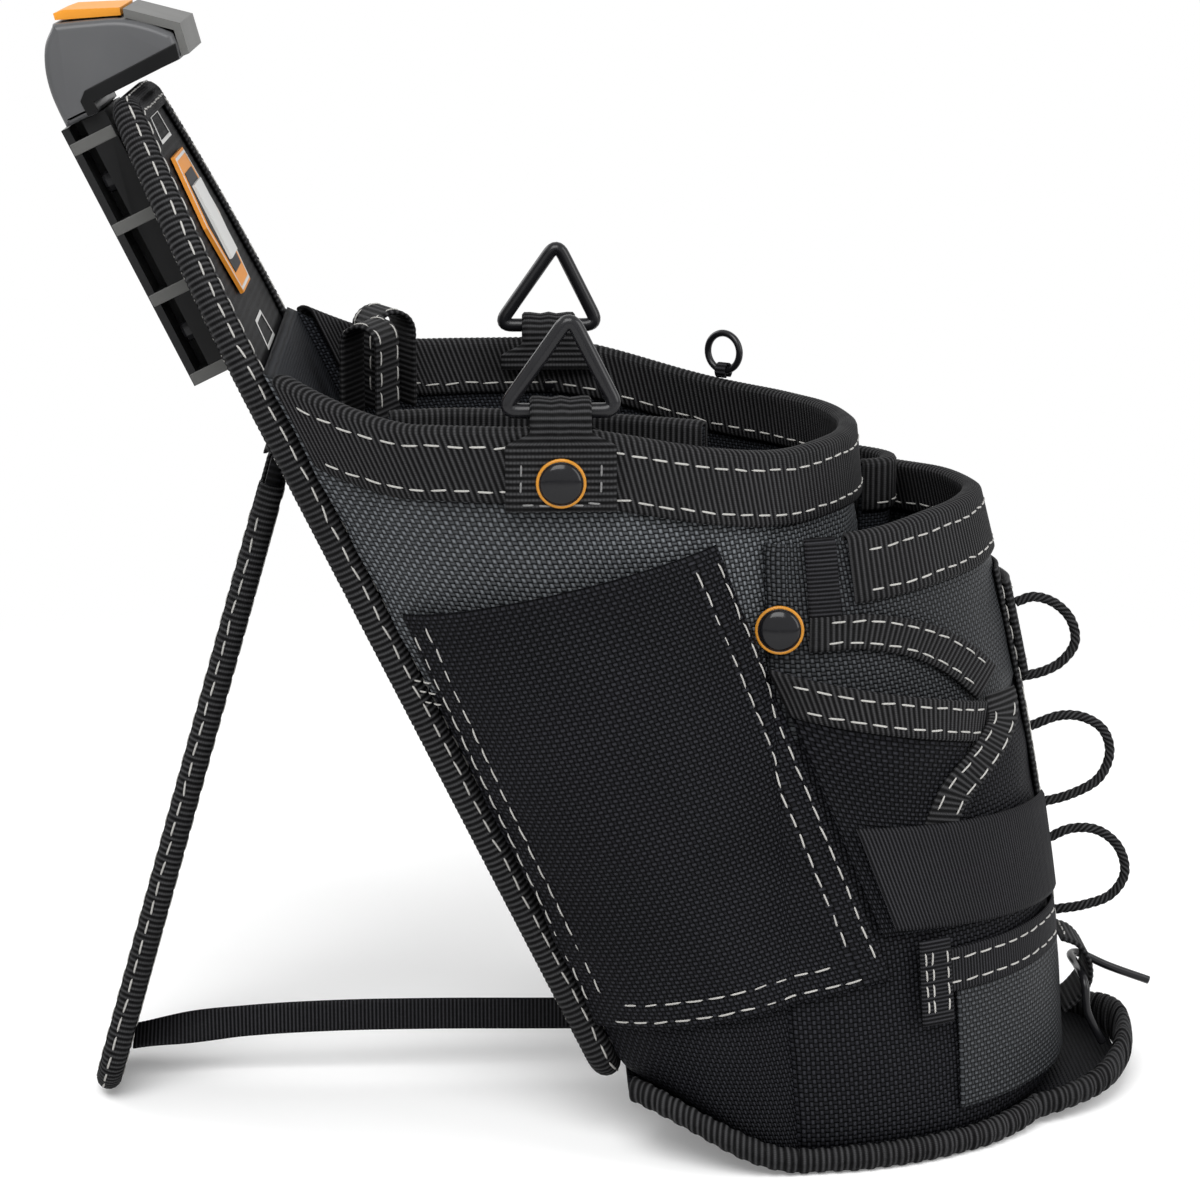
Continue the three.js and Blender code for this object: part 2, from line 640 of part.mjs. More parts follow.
function tube(curve, diameter, sides, steps) {
  return new THREE.ExtrudeGeometry(circleShape(diameter / 2, sides), {
    steps, extrudePath: curve, bevelEnabled: false,
  });
}

CORD_ROUTES.forEach((route, index) => {
  const curve = new THREE.CatmullRomCurve3(route.map(([x, z]) => new THREE.Vector3(x, 0, z)));
  add(`cord_loop_${index + 1}`, tube(curve, CORD, 8, 12), cloth(WEBBING));
});

// The webbing that holds the hook bows out from the spine's foot and back to the bottom.
const hookLoopRoute = [[155, 49], [161, 46.5], [165, 41], [165.5, 33.5], [161.5, 27], [156.8, 23]];
const hookCurve = new THREE.CatmullRomCurve3(hookLoopRoute.map(([x, z]) => new THREE.Vector3(x, 0, z)));
const hookLoopPlace = (s, t, d) => {
  const point = hookCurve.getPoint(t);
  const ahead = hookCurve.getTangent(t);
  return new THREE.Vector3(point.x - ahead.z * d, mix(-11, 11, s), point.z + ahead.x * d);
};
add('hook_loop', sheet(hookLoopPlace, 1, 10, () => -WEB / 2, () => WEB / 2), cloth(WEBBING, 0.8));

const [hookX, hookZ] = HOOK_PIVOT;
const hookPath = new THREE.CatmullRomCurve3([
  new THREE.Vector3(169.5, -HOOK_HALF, 13.5),
  new THREE.Vector3(164, -HOOK_HALF, 25),
  new THREE.Vector3(hookX + 0.5, -HOOK_HALF, hookZ - 3),
  new THREE.Vector3(hookX, -HOOK_HALF + 3, hookZ),
  new THREE.Vector3(hookX, 0, hookZ),
  new THREE.Vector3(hookX, HOOK_HALF - 3, hookZ),
  new THREE.Vector3(hookX + 3, HOOK_HALF, hookZ - 0.7),
  new THREE.Vector3(176, HOOK_HALF, 30.5),
  new THREE.Vector3(190.5, HOOK_HALF, 25),
], false, 'catmullrom', 0.3);
add('tape_hook', tube(hookPath, HOOK_WIRE, 8, 24), metal(0x141416, 0.25));

// ---------------------------------------------------------------- bottom panel and edge
function baseHalf(x) {
  const nose = THREE.MathUtils.clamp((x - BASE_NOSE_CENTRE) / (BASE_NOSE - BASE_NOSE_CENTRE), 0, 1);
  const lip = x > BASE_NOSE_CENTRE ? BASE_NOSE_HALF * Math.sqrt(1 - nose ** 2) : 0;
  return Math.max(halfWidth(x, baseHeight(x) + BASE_THICK + POCKET_ROUND), lip);
}
const BASE_BACK = boardX(BOARD_FOOT_Z + 4, BOARD_FACE) + 1;
const baseX = (tau) => BASE_NOSE - (BASE_NOSE - BASE_BACK) * (1 - Math.cos((tau * Math.PI) / 2));
const basePlace = (s, t, d) => {
  const x = baseX(mix(1, 0.03, s));
  return new THREE.Vector3(x, mix(-1, 1, t) * baseHalf(x), baseHeight(x) + d);
};
add('bottom_panel', sheet(basePlace, 20, 2, () => 0, () => BASE_THICK), cloth(BLACK_WEAVE));

function edgePoint(tau) {
  const x = baseX(Math.abs(tau));
  return new THREE.Vector3(x, Math.sign(tau) * baseHalf(x), baseHeight(x));
}
const edgeOutline = [];
for (let i = 0; i < 8; i += 1) {
  const angle = (2 * Math.PI * (i + 0.5)) / 8;
  edgeOutline.push(new THREE.Vector2(Math.cos(angle), Math.sin(angle)));
}
const edgeSections = [];
const EDGE_STEPS = 40;
for (let i = 0; i <= EDGE_STEPS; i += 1) {
  const tau = mix(-0.985, 0.985, i / EDGE_STEPS);
  const point = edgePoint(tau);
  const ahead = edgePoint(tau + 0.01).sub(edgePoint(tau - 0.01)).setZ(0).normalize();
  const out = new THREE.Vector3(ahead.y, -ahead.x, 0);
  const tall = mix(BASE_NOSE_HEIGHT, BASE_EDGE_HEIGHT, smooth(Math.abs(tau) / 0.3)) / 2;
  const round = 1 / Math.cos(Math.PI / 8);
  edgeSections.push(edgeOutline.map((corner) => point.clone()
    .addScaledVector(out, BASE_EDGE_HALF + 1.2 + BASE_EDGE_HALF * corner.x * round)
    .add(new THREE.Vector3(0, 0, tall + tall * corner.y * round))));
}
add('bottom_edge', sweep(edgeSections, edgeOutline), cloth(WEBBING, 0.8));

// ---------------------------------------------------------------- ring tabs and rings
const tabOutside = MAIN_HALF + GAP + WEB + GAP;
const tabInside = mainPoint(Math.PI / 2, MAIN_RIM).y - WALL - 2 * GAP - WEB - 4.5;
const tabMiddle = (tabOutside + tabInside) / 2;
const tabRadius = (tabOutside - tabInside) / 2;
const tabTop = rimHeight(TAB_X) + GAP + WEB + 2;
const RING_SEAT = tabTop + tabRadius - RING_WIRE / 2 - FIT;

function tabGeometry(side) {
  const shape = new THREE.Shape();
  const outer = tabRadius + WEB;
  const innerDrop = 12;
  shape.moveTo(outer, tabTop - TAB_DROP);
  shape.lineTo(outer, tabTop);
  shape.absarc(0, tabTop, outer, 0, Math.PI, false);
  shape.lineTo(-outer, tabTop - innerDrop);
  shape.lineTo(-tabRadius, tabTop - innerDrop);
  shape.lineTo(-tabRadius, tabTop);
  shape.absarc(0, tabTop, tabRadius, Math.PI, 0, true);
  shape.lineTo(tabRadius, tabTop - TAB_DROP);
  shape.closePath();
  const strip = new THREE.ExtrudeGeometry(shape, { depth: TAB_WIDTH, bevelEnabled: false, curveSegments: 8 });
  strip.translate(0, 0, -TAB_WIDTH / 2);
  // The outline's x runs outward and its y up; the strip's width lies along X.
  strip.rotateX(Math.PI / 2).rotateZ(side * Math.PI / 2);
  strip.translate(TAB_X, side * tabMiddle, 0);
  const notch = (TAB_WIDTH - TAB_FOLD_WIDTH) / 2;
  const notches = [-1, 1].map((end) => new THREE.BoxGeometry(2 * notch, 40, 40)
    .translate(TAB_X + (end * TAB_WIDTH) / 2, side * tabMiddle, tabTop - 2 + 20));
  return cut(strip, ...notches, ...upperHoles);
}

// A rounded triangle of wire, standing on its base wire.
function triangleRing(side) {
  const corners = [[-RING_BASE / 2, 0], [RING_BASE / 2, 0], [3, RING_HEIGHT]];
  const bend = 5;
  const route = new THREE.CurvePath();
  const point = ([x, z]) => new THREE.Vector3(TAB_X + x, side * tabMiddle, RING_SEAT + z);
  const toward = (from, to, share) => point(from).lerp(point(to), share);
  for (let i = 0; i < corners.length; i += 1) {
    const here = corners[i];
    const next = corners[(i + 1) % 3];
    const after = corners[(i + 2) % 3];
    const side1 = point(here).distanceTo(point(next));
    const side2 = point(next).distanceTo(point(after));
    route.add(new THREE.LineCurve3(toward(here, next, bend / side1), toward(here, next, 1 - bend / side1)));
    route.add(new THREE.QuadraticBezierCurve3(
      toward(here, next, 1 - bend / side1), point(next), toward(next, after, bend / side2),
    ));
  }
  // The joint of the wire lies inside the tab, with a hair between its two ends.
  const samples = route.getSpacedPoints(30);
  const open = new THREE.CatmullRomCurve3(samples.slice(0, -1));
  return tube(open, RING_WIRE, 8, 29);
}

for (const [name, side] of SIDES) {
  add(`${name}_ring_tab`, tabGeometry(side), cloth(WEBBING, 0.8));
  add(`${name}_triangle_ring`, triangleRing(side), metal(0x18181a, 0.3));
}
for (const { name, base, axis } of upperRivets) {
  const seat = tabOutside - MAIN_HALF + WEB + FIT;
  add(`${name}_tab_rivet`, rivet(base, axis, -WALL - GAP - WEB - GAP, seat), metal(0x101012, 0.2));
}
for (const { name, base, axis } of lowerRivets) {
  const seat = GAP + WEB + 2 * FIT;
  add(`${name}_side_rivet`, rivet(base, axis, -WALL - 7, seat), metal(0x101012, 0.2));
}

// The small wire ring stands on the far rim in a narrow tab.
const smallTurn = Math.acos((SMALL_RING_X - mainPoint(Math.PI / 2, MAIN_RIM).x)
  / (MAIN_FRONT_TOP - mainPoint(Math.PI / 2, MAIN_RIM).x));
const smallBase = mainPoint(smallTurn, MAIN_RIM, WALL / 2);
smallBase.z = rimHeight(smallBase.x) + GAP + WEB + 2 * FIT;
const smallHeading = Math.atan2(
  mainPoint(smallTurn + 0.02, MAIN_RIM).y - mainPoint(smallTurn - 0.02, MAIN_RIM).y,
  mainPoint(smallTurn + 0.02, MAIN_RIM).x - mainPoint(smallTurn - 0.02, MAIN_RIM).x,
);
const SMALL_TAB_LENGTH = 4.4;
const smallBore = SMALL_RING_WIRE / 2 + 2 * FIT;   // room for the ring's curve in its tab
const smallTabHalf = smallBore + 1;
const smallTabBlock = new THREE.BoxGeometry(SMALL_TAB_LENGTH, 2 * smallTabHalf, 2 * smallTabHalf)
  .translate(0, 0, smallTabHalf);
const smallTabBore = new THREE.CylinderGeometry(smallBore, smallBore, 2 * SMALL_TAB_LENGTH, 12)
  .rotateZ(Math.PI / 2).translate(0, 0, smallTabHalf);
const smallRing = new THREE.TorusGeometry(SMALL_RING_RADIUS, SMALL_RING_WIRE / 2, 6, 18)
  .rotateX(Math.PI / 2).translate(0, 0, smallTabHalf + SMALL_RING_RADIUS);
for (const [name, geometry, material] of [
  ['small_ring_tab', cut(smallTabBlock, smallTabBore), cloth(WEBBING, 0.8)],
  ['small_ring', smallRing, metal(0x18181a, 0.3)],
]) {
  add(name, geometry.rotateZ(smallHeading).translate(smallBase.x, smallBase.y, smallBase.z), material);
}

// ---------------------------------------------------------------- board
boardGroup.applyMatrix4(new THREE.Matrix4().makeBasis(
  new THREE.Vector3(0, 1, 0),
  new THREE.Vector3(UP_X, 0, UP_Z),
  new THREE.Vector3(UP_Z, 0, -UP_X),
).setPosition(BOARD_FOOT_X, 0, BOARD_FOOT_Z));

// Outline in (y, t). The upper panel narrows in an ogee to its top.
function boardOutline(inset) {
  const half = BOARD_HALF - inset;
  const corner = Math.max(BOARD_CORNER - inset, 2);
  const top = BOARD_LENGTH - inset;
  const topHalf = BOARD_TOP_HALF - inset;
  const shape = new THREE.Shape();
  shape.moveTo(-half + corner, inset);
  shape.lineTo(half - corner, inset);
  shape.absarc(half - corner, inset + corner, corner, -Math.PI / 2, 0, false);
  shape.lineTo(half, BOARD_SHOULDER);
  shape.bezierCurveTo(half - 2, BOARD_SHOULDER + 30, half - 14, top - 30, topHalf, top - 6);
  shape.quadraticCurveTo(topHalf - 3, top, topHalf - 10, top);
  shape.lineTo(-topHalf + 10, top);
  shape.quadraticCurveTo(-topHalf + 3, top, -topHalf, top - 6);
  shape.bezierCurveTo(-half + 14, top - 30, -half + 2, BOARD_SHOULDER + 30, -half, BOARD_SHOULDER);
  shape.lineTo(-half, inset + corner);
  shape.absarc(-half + corner, inset + corner, corner, Math.PI, 1.5 * Math.PI, false);
  return shape;
}

// An extrusion along the board's normal, from s = low to s = high.
function plate(shape, low, high, curveSegments = 5) {
  const geometry = new THREE.ExtrudeGeometry(shape, { depth: high - low, bevelEnabled: false, curveSegments });
  return geometry.translate(0, 0, low);
}
function block(y0, y1, t0, t1, s0, s1) {
  return new THREE.BoxGeometry(y1 - y0, t1 - t0, s1 - s0).translate((y0 + y1) / 2, (t0 + t1) / 2, (s0 + s1) / 2);
}
// A profile in (s, t), extruded across the board.
function profilePiece(points, half) {
  const shape = new THREE.Shape(points.map(([s, t]) => new THREE.Vector2(s, t)));
  const geometry = new THREE.ExtrudeGeometry(shape, { depth: 2 * half, bevelEnabled: false });
  return geometry.rotateY(-Math.PI / 2).translate(half, 0, 0);
}

add('back_board', plate(boardOutline(1.5), -BOARD_THICK / 2, BOARD_THICK / 2), cloth(BLACK_WEAVE), boardGroup);
add('back_board_binding',
  cut(
    plate(boardOutline(0), -BOARD_BIND_THICK / 2, BOARD_BIND_THICK / 2),
    plate(boardOutline(BOARD_BIND), -BOARD_BIND_THICK, BOARD_BIND_THICK),
    plate(boardOutline(1.5 - FIT), -BOARD_THICK / 2 - FIT, BOARD_THICK / 2 + FIT),
  ), cloth(WEBBING, 0.8), boardGroup);

const LABEL_S = BOARD_THICK / 2 + FIT;
const labelMiddle = (LABEL.low + LABEL.high) / 2;
const labelShape = new THREE.Shape([
  [-LABEL.half, labelMiddle], [-LABEL.half + 9, LABEL.low], [LABEL.half - 9, LABEL.low],
  [LABEL.half, labelMiddle], [LABEL.half - 9, LABEL.high], [-LABEL.half + 9, LABEL.high],
].map(([y, t]) => new THREE.Vector2(y, t)));
add('label_patch', plate(labelShape, LABEL_S, LABEL_S + LABEL.thick), plastic(0xc9791f), boardGroup);
add('label_plate',
  block(-12, 12, labelMiddle - 13, labelMiddle + 13, LABEL_S + LABEL.thick + FIT, LABEL_S + LABEL.thick + 1.3),
  plastic(0xb9b9b9), boardGroup);

// ---------------------------------------------------------------- belt hub
const receiverFace = -BOARD_THICK / 2 - FIT;
const railBack = -12.4;
add('hub_receiver',
  join(
    block(-22, 22, HUB_LOW + 2, BOARD_LENGTH - BOARD_BIND - 1, -6.6, receiverFace),
    block(-RAIL_NECK_HALF, RAIL_NECK_HALF, HUB_LOW + 6, HUB_HIGH - 12, -10.6, -6),
    block(-RAIL_HEAD_HALF, RAIL_HEAD_HALF, HUB_LOW + 6, HUB_HIGH - 12, railBack, -10),
  ), plastic(0x17171a), boardGroup);

const clipFrame = join(
  block(-HUB_HALF, HUB_HALF, HUB_LOW, HUB_HIGH, ...HUB_FRONT),
  block(-HUB_WEB_HALF, HUB_WEB_HALF, HUB_LOW, HUB_HIGH, HUB_BACK[1] + FIT, HUB_FRONT[0] + 1),
  ...HUB_RIBS.map((t) => block(-HUB_HALF, HUB_HALF, t - HUB_RIB / 2, t + HUB_RIB / 2,
    HUB_BACK[1] + FIT, HUB_FRONT[0] + 1)),
);
const SCREW_T = [(HUB_RIBS[0] + HUB_RIBS[1]) / 2, (HUB_RIBS[2] + HUB_RIBS[3]) / 2];
const SCREW_Y = 16.5;
const screwSpots = SCREW_T.flatMap((t) => [[-SCREW_Y, t], [SCREW_Y, t]]);
const screwHole = ([y, t]) => new THREE.CylinderGeometry(SCREW_SHANK / 2 + FIT, SCREW_SHANK / 2 + FIT, 20, 12)
  .rotateX(Math.PI / 2).translate(y, t, HUB_FRONT[0]);
const slotClear = 0.4;
add('hub_clip_frame',
  cut(clipFrame,
    block(-RAIL_NECK_HALF - slotClear, RAIL_NECK_HALF + slotClear, 0, HUB_HIGH - 12 + slotClear, -11, 0),
    block(-RAIL_HEAD_HALF - slotClear, RAIL_HEAD_HALF + slotClear, 0, HUB_HIGH - 12 + slotClear,
      railBack - slotClear, -10 + slotClear),
    ...screwSpots.map(screwHole)),
  plastic(0x1b1c1f), boardGroup);
add('hub_clip_back', block(-HUB_HALF, HUB_HALF, HUB_LOW, HUB_HIGH, ...HUB_BACK), plastic(0x1b1c1f), boardGroup);

screwSpots.forEach(([y, t], index) => {
  const head = HUB_FRONT[0] - FIT;
  const profile = [[0, -3], [SCREW_HEAD / 2 - 0.6, -3], [SCREW_HEAD / 2, -2.2], [SCREW_HEAD / 2, 0],
    [SCREW_SHANK / 2, 0], [SCREW_SHANK / 2, 6.5], [0, 6.5]].map(([r, h]) => new THREE.Vector2(r, h));
  const screw = new THREE.LatheGeometry(profile, 10).rotateX(Math.PI / 2).translate(y, t, head);
  add(`hub_screw_${index + 1}`, screw, metal(0x1c1c1e, 0.25), boardGroup);
});

const hoodLow = HUB_HIGH + FIT;
const hoodUnder = BOARD_LENGTH + 2.5;
const hoodProfile = [
  [-20, hoodLow], [-19.5, 357], [-16.5, 367], [-9, 375.5], [11, 367.5], [23, 357], [21.5, hoodUnder],
  [-8.5, hoodUnder], [-8.5, hoodLow],
];
add('hub_hood', profilePiece(hoodProfile, HOOD_HALF), plastic(0x222326), boardGroup);
add('hub_hood_insert',
  profilePiece([[-8.4, 376.1], [10.6, 368.5], [11.4, 370.8], [-4.6, 377.8], [-8.0, 378.2]], 21),
  plastic(0xd8861e), boardGroup);
add('hub_hood_trim',
  profilePiece([[11.7, 367.4], [23.7, 357.3], [22.1, 349], [24.6, 348.8], [26.4, 358.4], [12.6, 370.1]], 25),
  plastic(0x5b5b57), boardGroup);

// ---------------------------------------------------------------- stand
const hinge = boardPoint(...STAND_HINGE);
const leanSin = Math.sin(radians(STAND_LEAN));
const leanCos = Math.cos(radians(STAND_LEAN));
const standLength = (hinge.z - (STAND_BIND_THICK / 2) * leanSin) / leanCos;
standGroup.applyMatrix4(new THREE.Matrix4().makeBasis(
  new THREE.Vector3(0, 1, 0),
  new THREE.Vector3(leanSin, 0, leanCos),
  new THREE.Vector3(leanCos, 0, -leanSin),
).setPosition(hinge));

// Outline in (y, height above the hinge), rounded at the foot.
function standOutline(inset, top) {
  const half = STAND_HALF - inset;
  const corner = STAND_CORNER - inset;
  const foot = -standLength + inset;
  const shape = new THREE.Shape();
  shape.moveTo(half, top);
  shape.lineTo(-half, top);
  shape.lineTo(-half, foot + corner);
  shape.absarc(-half + corner, foot + corner, corner, Math.PI, 1.5 * Math.PI, false);
  shape.lineTo(half - corner, foot);
  shape.absarc(half - corner, foot + corner, corner, -Math.PI / 2, 0, false);
  shape.closePath();
  return shape;
}
const standTop = 2.5;
add('kickstand_panel', plate(standOutline(1.5, standTop), -STAND_THICK / 2, STAND_THICK / 2),
  cloth(BLACK_WEAVE), standGroup);
add('kickstand_binding',
  cut(
    plate(standOutline(0, -8), -STAND_BIND_THICK / 2, STAND_BIND_THICK / 2),
    plate(standOutline(STAND_BIND, 10), -STAND_BIND_THICK, STAND_BIND_THICK),
    plate(standOutline(1.5 - FIT, 10), -STAND_THICK / 2 - FIT, STAND_THICK / 2 + FIT),
  ), cloth(WEBBING, 0.8), standGroup);

// The hinge strap is sewn to the board and hooks over the stand's top edge.
const [hingeT, hingeS] = STAND_HINGE;
const hookLow = hingeT + standTop * Math.SQRT2 + FIT;
const hingeFace = receiverFace - WEB;
add('kickstand_hinge_strap',
  profilePiece([
    [receiverFace, hingeT - 4], [receiverFace, hingeT + 26], [hingeFace, hingeT + 26],
    [hingeFace, hookLow + WEB], [hingeS - 3, hookLow + WEB], [hingeS - 3, hookLow],
    [hingeFace, hookLow], [hingeFace, hingeT - 4],
  ], STAND_HALF - 2), cloth(WEBBING, 0.8), boardGroup);

// The limit strap, webbing on edge, from the stand's foot to the board's foot.
const limitCurve = new THREE.CatmullRomCurve3(LIMIT_ROUTE.map(([x, z]) => new THREE.Vector3(x, 0, z)));
const limitSections = [];
const LIMIT_STEPS = 12;
for (let i = 0; i <= LIMIT_STEPS; i += 1) {
  const share = i / LIMIT_STEPS;
  const point = limitCurve.getPoint(share);
  const twist = radians(60) * smooth(1 - share / 0.25);
  const across = new THREE.Vector3(0, Math.sin(twist), Math.cos(twist));
  const thin = new THREE.Vector3(0, Math.cos(twist), -Math.sin(twist));
  limitSections.push([[1, 1], [-1, 1], [-1, -1], [1, -1]].map(([a, b]) => point.clone()
    .addScaledVector(across, (a * LIMIT_WIDTH) / 2)
    .addScaledVector(thin, (b * WEB) / 2)));
}
add('limit_strap',
  sweep(limitSections, [[1, 1], [-1, 1], [-1, -1], [1, -1]].map(([a, b]) => new THREE.Vector2(a, b))),
  cloth(WEBBING, 0.8));

// ---------------------------------------------------------------- origin
// The origin is at the middle of the pouch's footprint box, without the free cords.
group.updateMatrixWorld(true);
const extent = new THREE.Box3();
group.traverse((item) => {
  if (item.isMesh && !item.name.startsWith('cord_loop')) {
    extent.expandByObject(item, true);
  }
});
group.position.set(-(extent.min.x + extent.max.x) / 2, -(extent.min.y + extent.max.y) / 2, -extent.min.z);
group.updateMatrixWorld(true);

export default group;
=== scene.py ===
import math
import bpy
import numpy as np
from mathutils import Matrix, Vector


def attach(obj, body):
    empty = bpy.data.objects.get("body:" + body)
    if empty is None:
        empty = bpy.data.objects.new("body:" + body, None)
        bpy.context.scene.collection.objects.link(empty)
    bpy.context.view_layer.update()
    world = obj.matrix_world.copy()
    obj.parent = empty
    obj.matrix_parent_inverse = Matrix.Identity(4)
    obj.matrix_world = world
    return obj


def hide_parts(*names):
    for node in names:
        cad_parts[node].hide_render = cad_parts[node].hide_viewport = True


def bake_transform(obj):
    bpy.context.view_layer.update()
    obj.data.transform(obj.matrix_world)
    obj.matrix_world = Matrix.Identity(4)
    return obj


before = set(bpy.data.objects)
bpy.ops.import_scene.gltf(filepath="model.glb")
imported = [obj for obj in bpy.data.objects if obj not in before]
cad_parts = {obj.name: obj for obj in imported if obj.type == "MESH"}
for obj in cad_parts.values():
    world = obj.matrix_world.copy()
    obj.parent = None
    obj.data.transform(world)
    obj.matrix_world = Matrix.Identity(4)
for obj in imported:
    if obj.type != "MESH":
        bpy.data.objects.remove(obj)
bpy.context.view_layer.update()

POUCH = "pouch"

# ------------------------------------------------------------------ the frame
# Shapes are made in the design's millimetres; metres() moves them into the shared frame.
SHIFT_X = -8.6258
MM = 0.001
UP = np.array([0, 0, 1])
GAP = 0.4                 # air between two layers that are sewn together
FIT = 0.3
WEB = 1.5                 # thickness of webbing
WALL = 2.4                # thickness of a pocket's wall
CLOTH = 1.6               # thickness of the sewn-on pockets
ON_WEB = WEB / 2 + 0.12   # from the middle of webbing to the stitches on it
WEB_RIB = 0.3             # height of its ribs
RIB_PITCH = 1.9
FINE_PITCH = 1.3
UV_MM = 100               # millimetres in one unit of the cloth coordinates
WHITE = (1, 1, 1, 1)


def metres(points):
    return (np.asarray(points, float) + np.array([SHIFT_X, 0, 0])) * MM


# ------------------------------------------------------------------ camera
CAMERA_TURN, CAMERA_RISE = math.radians(-2), math.radians(13)
CAMERA_DISTANCE = 1.15
CAMERA_AIM = Vector(metres([0, 0, 165]))
CAMERA_LENS, CAMERA_SENSOR = 104.2, 36


def add_object(name, data):
    obj = bpy.data.objects.new(name, data)
    bpy.context.scene.collection.objects.link(obj)
    return obj


def add_camera():
    level = math.cos(CAMERA_RISE)
    back = Vector((math.sin(CAMERA_TURN) * level, -math.cos(CAMERA_TURN) * level, math.sin(CAMERA_RISE)))
    camera = add_object("camera", bpy.data.cameras.new("camera"))
    camera.location = CAMERA_AIM + back * CAMERA_DISTANCE
    camera.rotation_euler = back.to_track_quat("Z", "Y").to_euler()
    camera.data.sensor_width = CAMERA_SENSOR
    camera.data.lens = CAMERA_LENS
    camera.data.clip_start = 0.05
    bpy.context.scene.camera = camera


add_camera()


# ------------------------------------------------------------------ materials
def new_material(name, rough, specular):
    material = bpy.data.materials.new(name)
    material.use_nodes = True
    tree = material.node_tree
    shader = tree.nodes["Principled BSDF"]
    shader.inputs["Roughness"].default_value = rough
    shader.inputs["Specular IOR Level"].default_value = specular
    return material, tree, shader


class Graph:
    """Short ways to add nodes to a material."""

    def __init__(self, tree):
        self.tree = tree

    def node(self, kind, **settings):
        item = self.tree.nodes.new(kind)
        for key, value in settings.items():
            setattr(item, key, value)
        return item

    def link(self, source, target):
        if isinstance(source, (int, float)):
            target.default_value = source
        else:
            self.tree.links.new(source, target)

    def math(self, operation, a, b=0.0, c=None, clamp=False):
        item = self.node("ShaderNodeMath", operation=operation, use_clamp=clamp)
        self.link(a, item.inputs[0])
        self.link(b, item.inputs[1])
        if c is not None:
            self.link(c, item.inputs[2])
        return item.outputs[0]

    def times(self, a, b, clamp=False):
        return self.math("MULTIPLY", a, b, clamp=clamp)

    def plus(self, a, b, clamp=False):
        return self.math("ADD", a, b, clamp=clamp)

    def times_plus(self, a, b, c, clamp=False):
        """The product of a and b, plus c."""
        return self.math("MULTIPLY_ADD", a, b, c, clamp)

    def mix(self, share, a, b):
        item = self.node("ShaderNodeMix", data_type="FLOAT")
        self.link(share, item.inputs["Factor"])
        self.link(a, item.inputs["A"])
        self.link(b, item.inputs["B"])
        return item.outputs["Result"]

    def colour(self, share, low, high):
        item = self.node("ShaderNodeMix", data_type="RGBA")
        self.link(share, item.inputs["Factor"])
        for name, value in (("A", low), ("B", high)):
            if isinstance(value, (tuple, list)):
                item.inputs[name].default_value = (*value, 1)
            else:
                self.tree.links.new(value, item.inputs[name])
        return item.outputs["Result"]

    def noise(self, scale, detail):
        item = self.node("ShaderNodeTexNoise")
        item.inputs["Scale"].default_value = scale
        item.inputs["Detail"].default_value = detail
        self.tree.links.new(self.node("ShaderNodeTexCoord").outputs["Object"], item.inputs["Vector"])
        return item.outputs["Fac"]

    def cloth_mm(self):
        """The cloth coordinates in millimetres: along and across."""
        uv = self.node("ShaderNodeTexCoord").outputs["UV"]
        split = self.node("ShaderNodeSeparateXYZ")
        self.tree.links.new(uv, split.inputs[0])
        return self.times(split.outputs[0], UV_MM), self.times(split.outputs[1], UV_MM)

    def bump(self, height, strength, depth_mm, shader):
        item = self.node("ShaderNodeBump")
        item.inputs["Strength"].default_value = strength
        item.inputs["Distance"].default_value = depth_mm * MM
        self.tree.links.new(height, item.inputs["Height"])
        self.tree.links.new(item.outputs[0], shader.inputs["Normal"])


def ballistic(name, low, high, cell=1.45, rough=0.5, specular=0.04):
    """A two-colour basket weave of heavy yarns, with a painted highlight where they curve and painted shade
    between them.
    """
    material, tree, shader = new_material(name, rough, specular)
    g = Graph(tree)
    along, across = g.cloth_mm()
    warp = g.times(g.noise(90, 2), 0.5)
    u = g.plus(g.math("DIVIDE", along, cell), warp)
    v = g.plus(g.math("DIVIDE", across, cell), warp)
    over_u, over_v = (g.math("POWER", g.math("SINE", g.times(g.math("FRACT", place), math.pi)), 0.6)
                      for place in (u, v))
    cells = g.plus(g.math("FLOOR", u), g.math("FLOOR", v))
    odd = g.math("FLOORED_MODULO", cells, 2)
    flat_yarn = g.times(over_v, g.times_plus(over_u, 0.4, 0.6))
    cross_yarn = g.times(over_u, g.times_plus(over_v, 0.4, 0.6))
    height = g.mix(odd, flat_yarn, cross_yarn)
    # Painted highlight on the yarns' crowns and painted shade between them; yarns of the two directions get a
    # different painted sheen, and wear greys them in places.
    worn = g.noise(14, 5)
    tone = g.times(g.math("POWER", height, 2.4), g.times_plus(odd, 0.7, 0.4))
    tone = g.times(tone, g.times_plus(worn, 1.3, 0.4), clamp=True)
    tree.links.new(g.colour(tone, low, high), shader.inputs["Base Color"])
    tree.links.new(g.times_plus(worn, 0.18, rough - 0.1), shader.inputs["Roughness"])
    g.bump(height, 1.0, 0.5, shader)
    return material


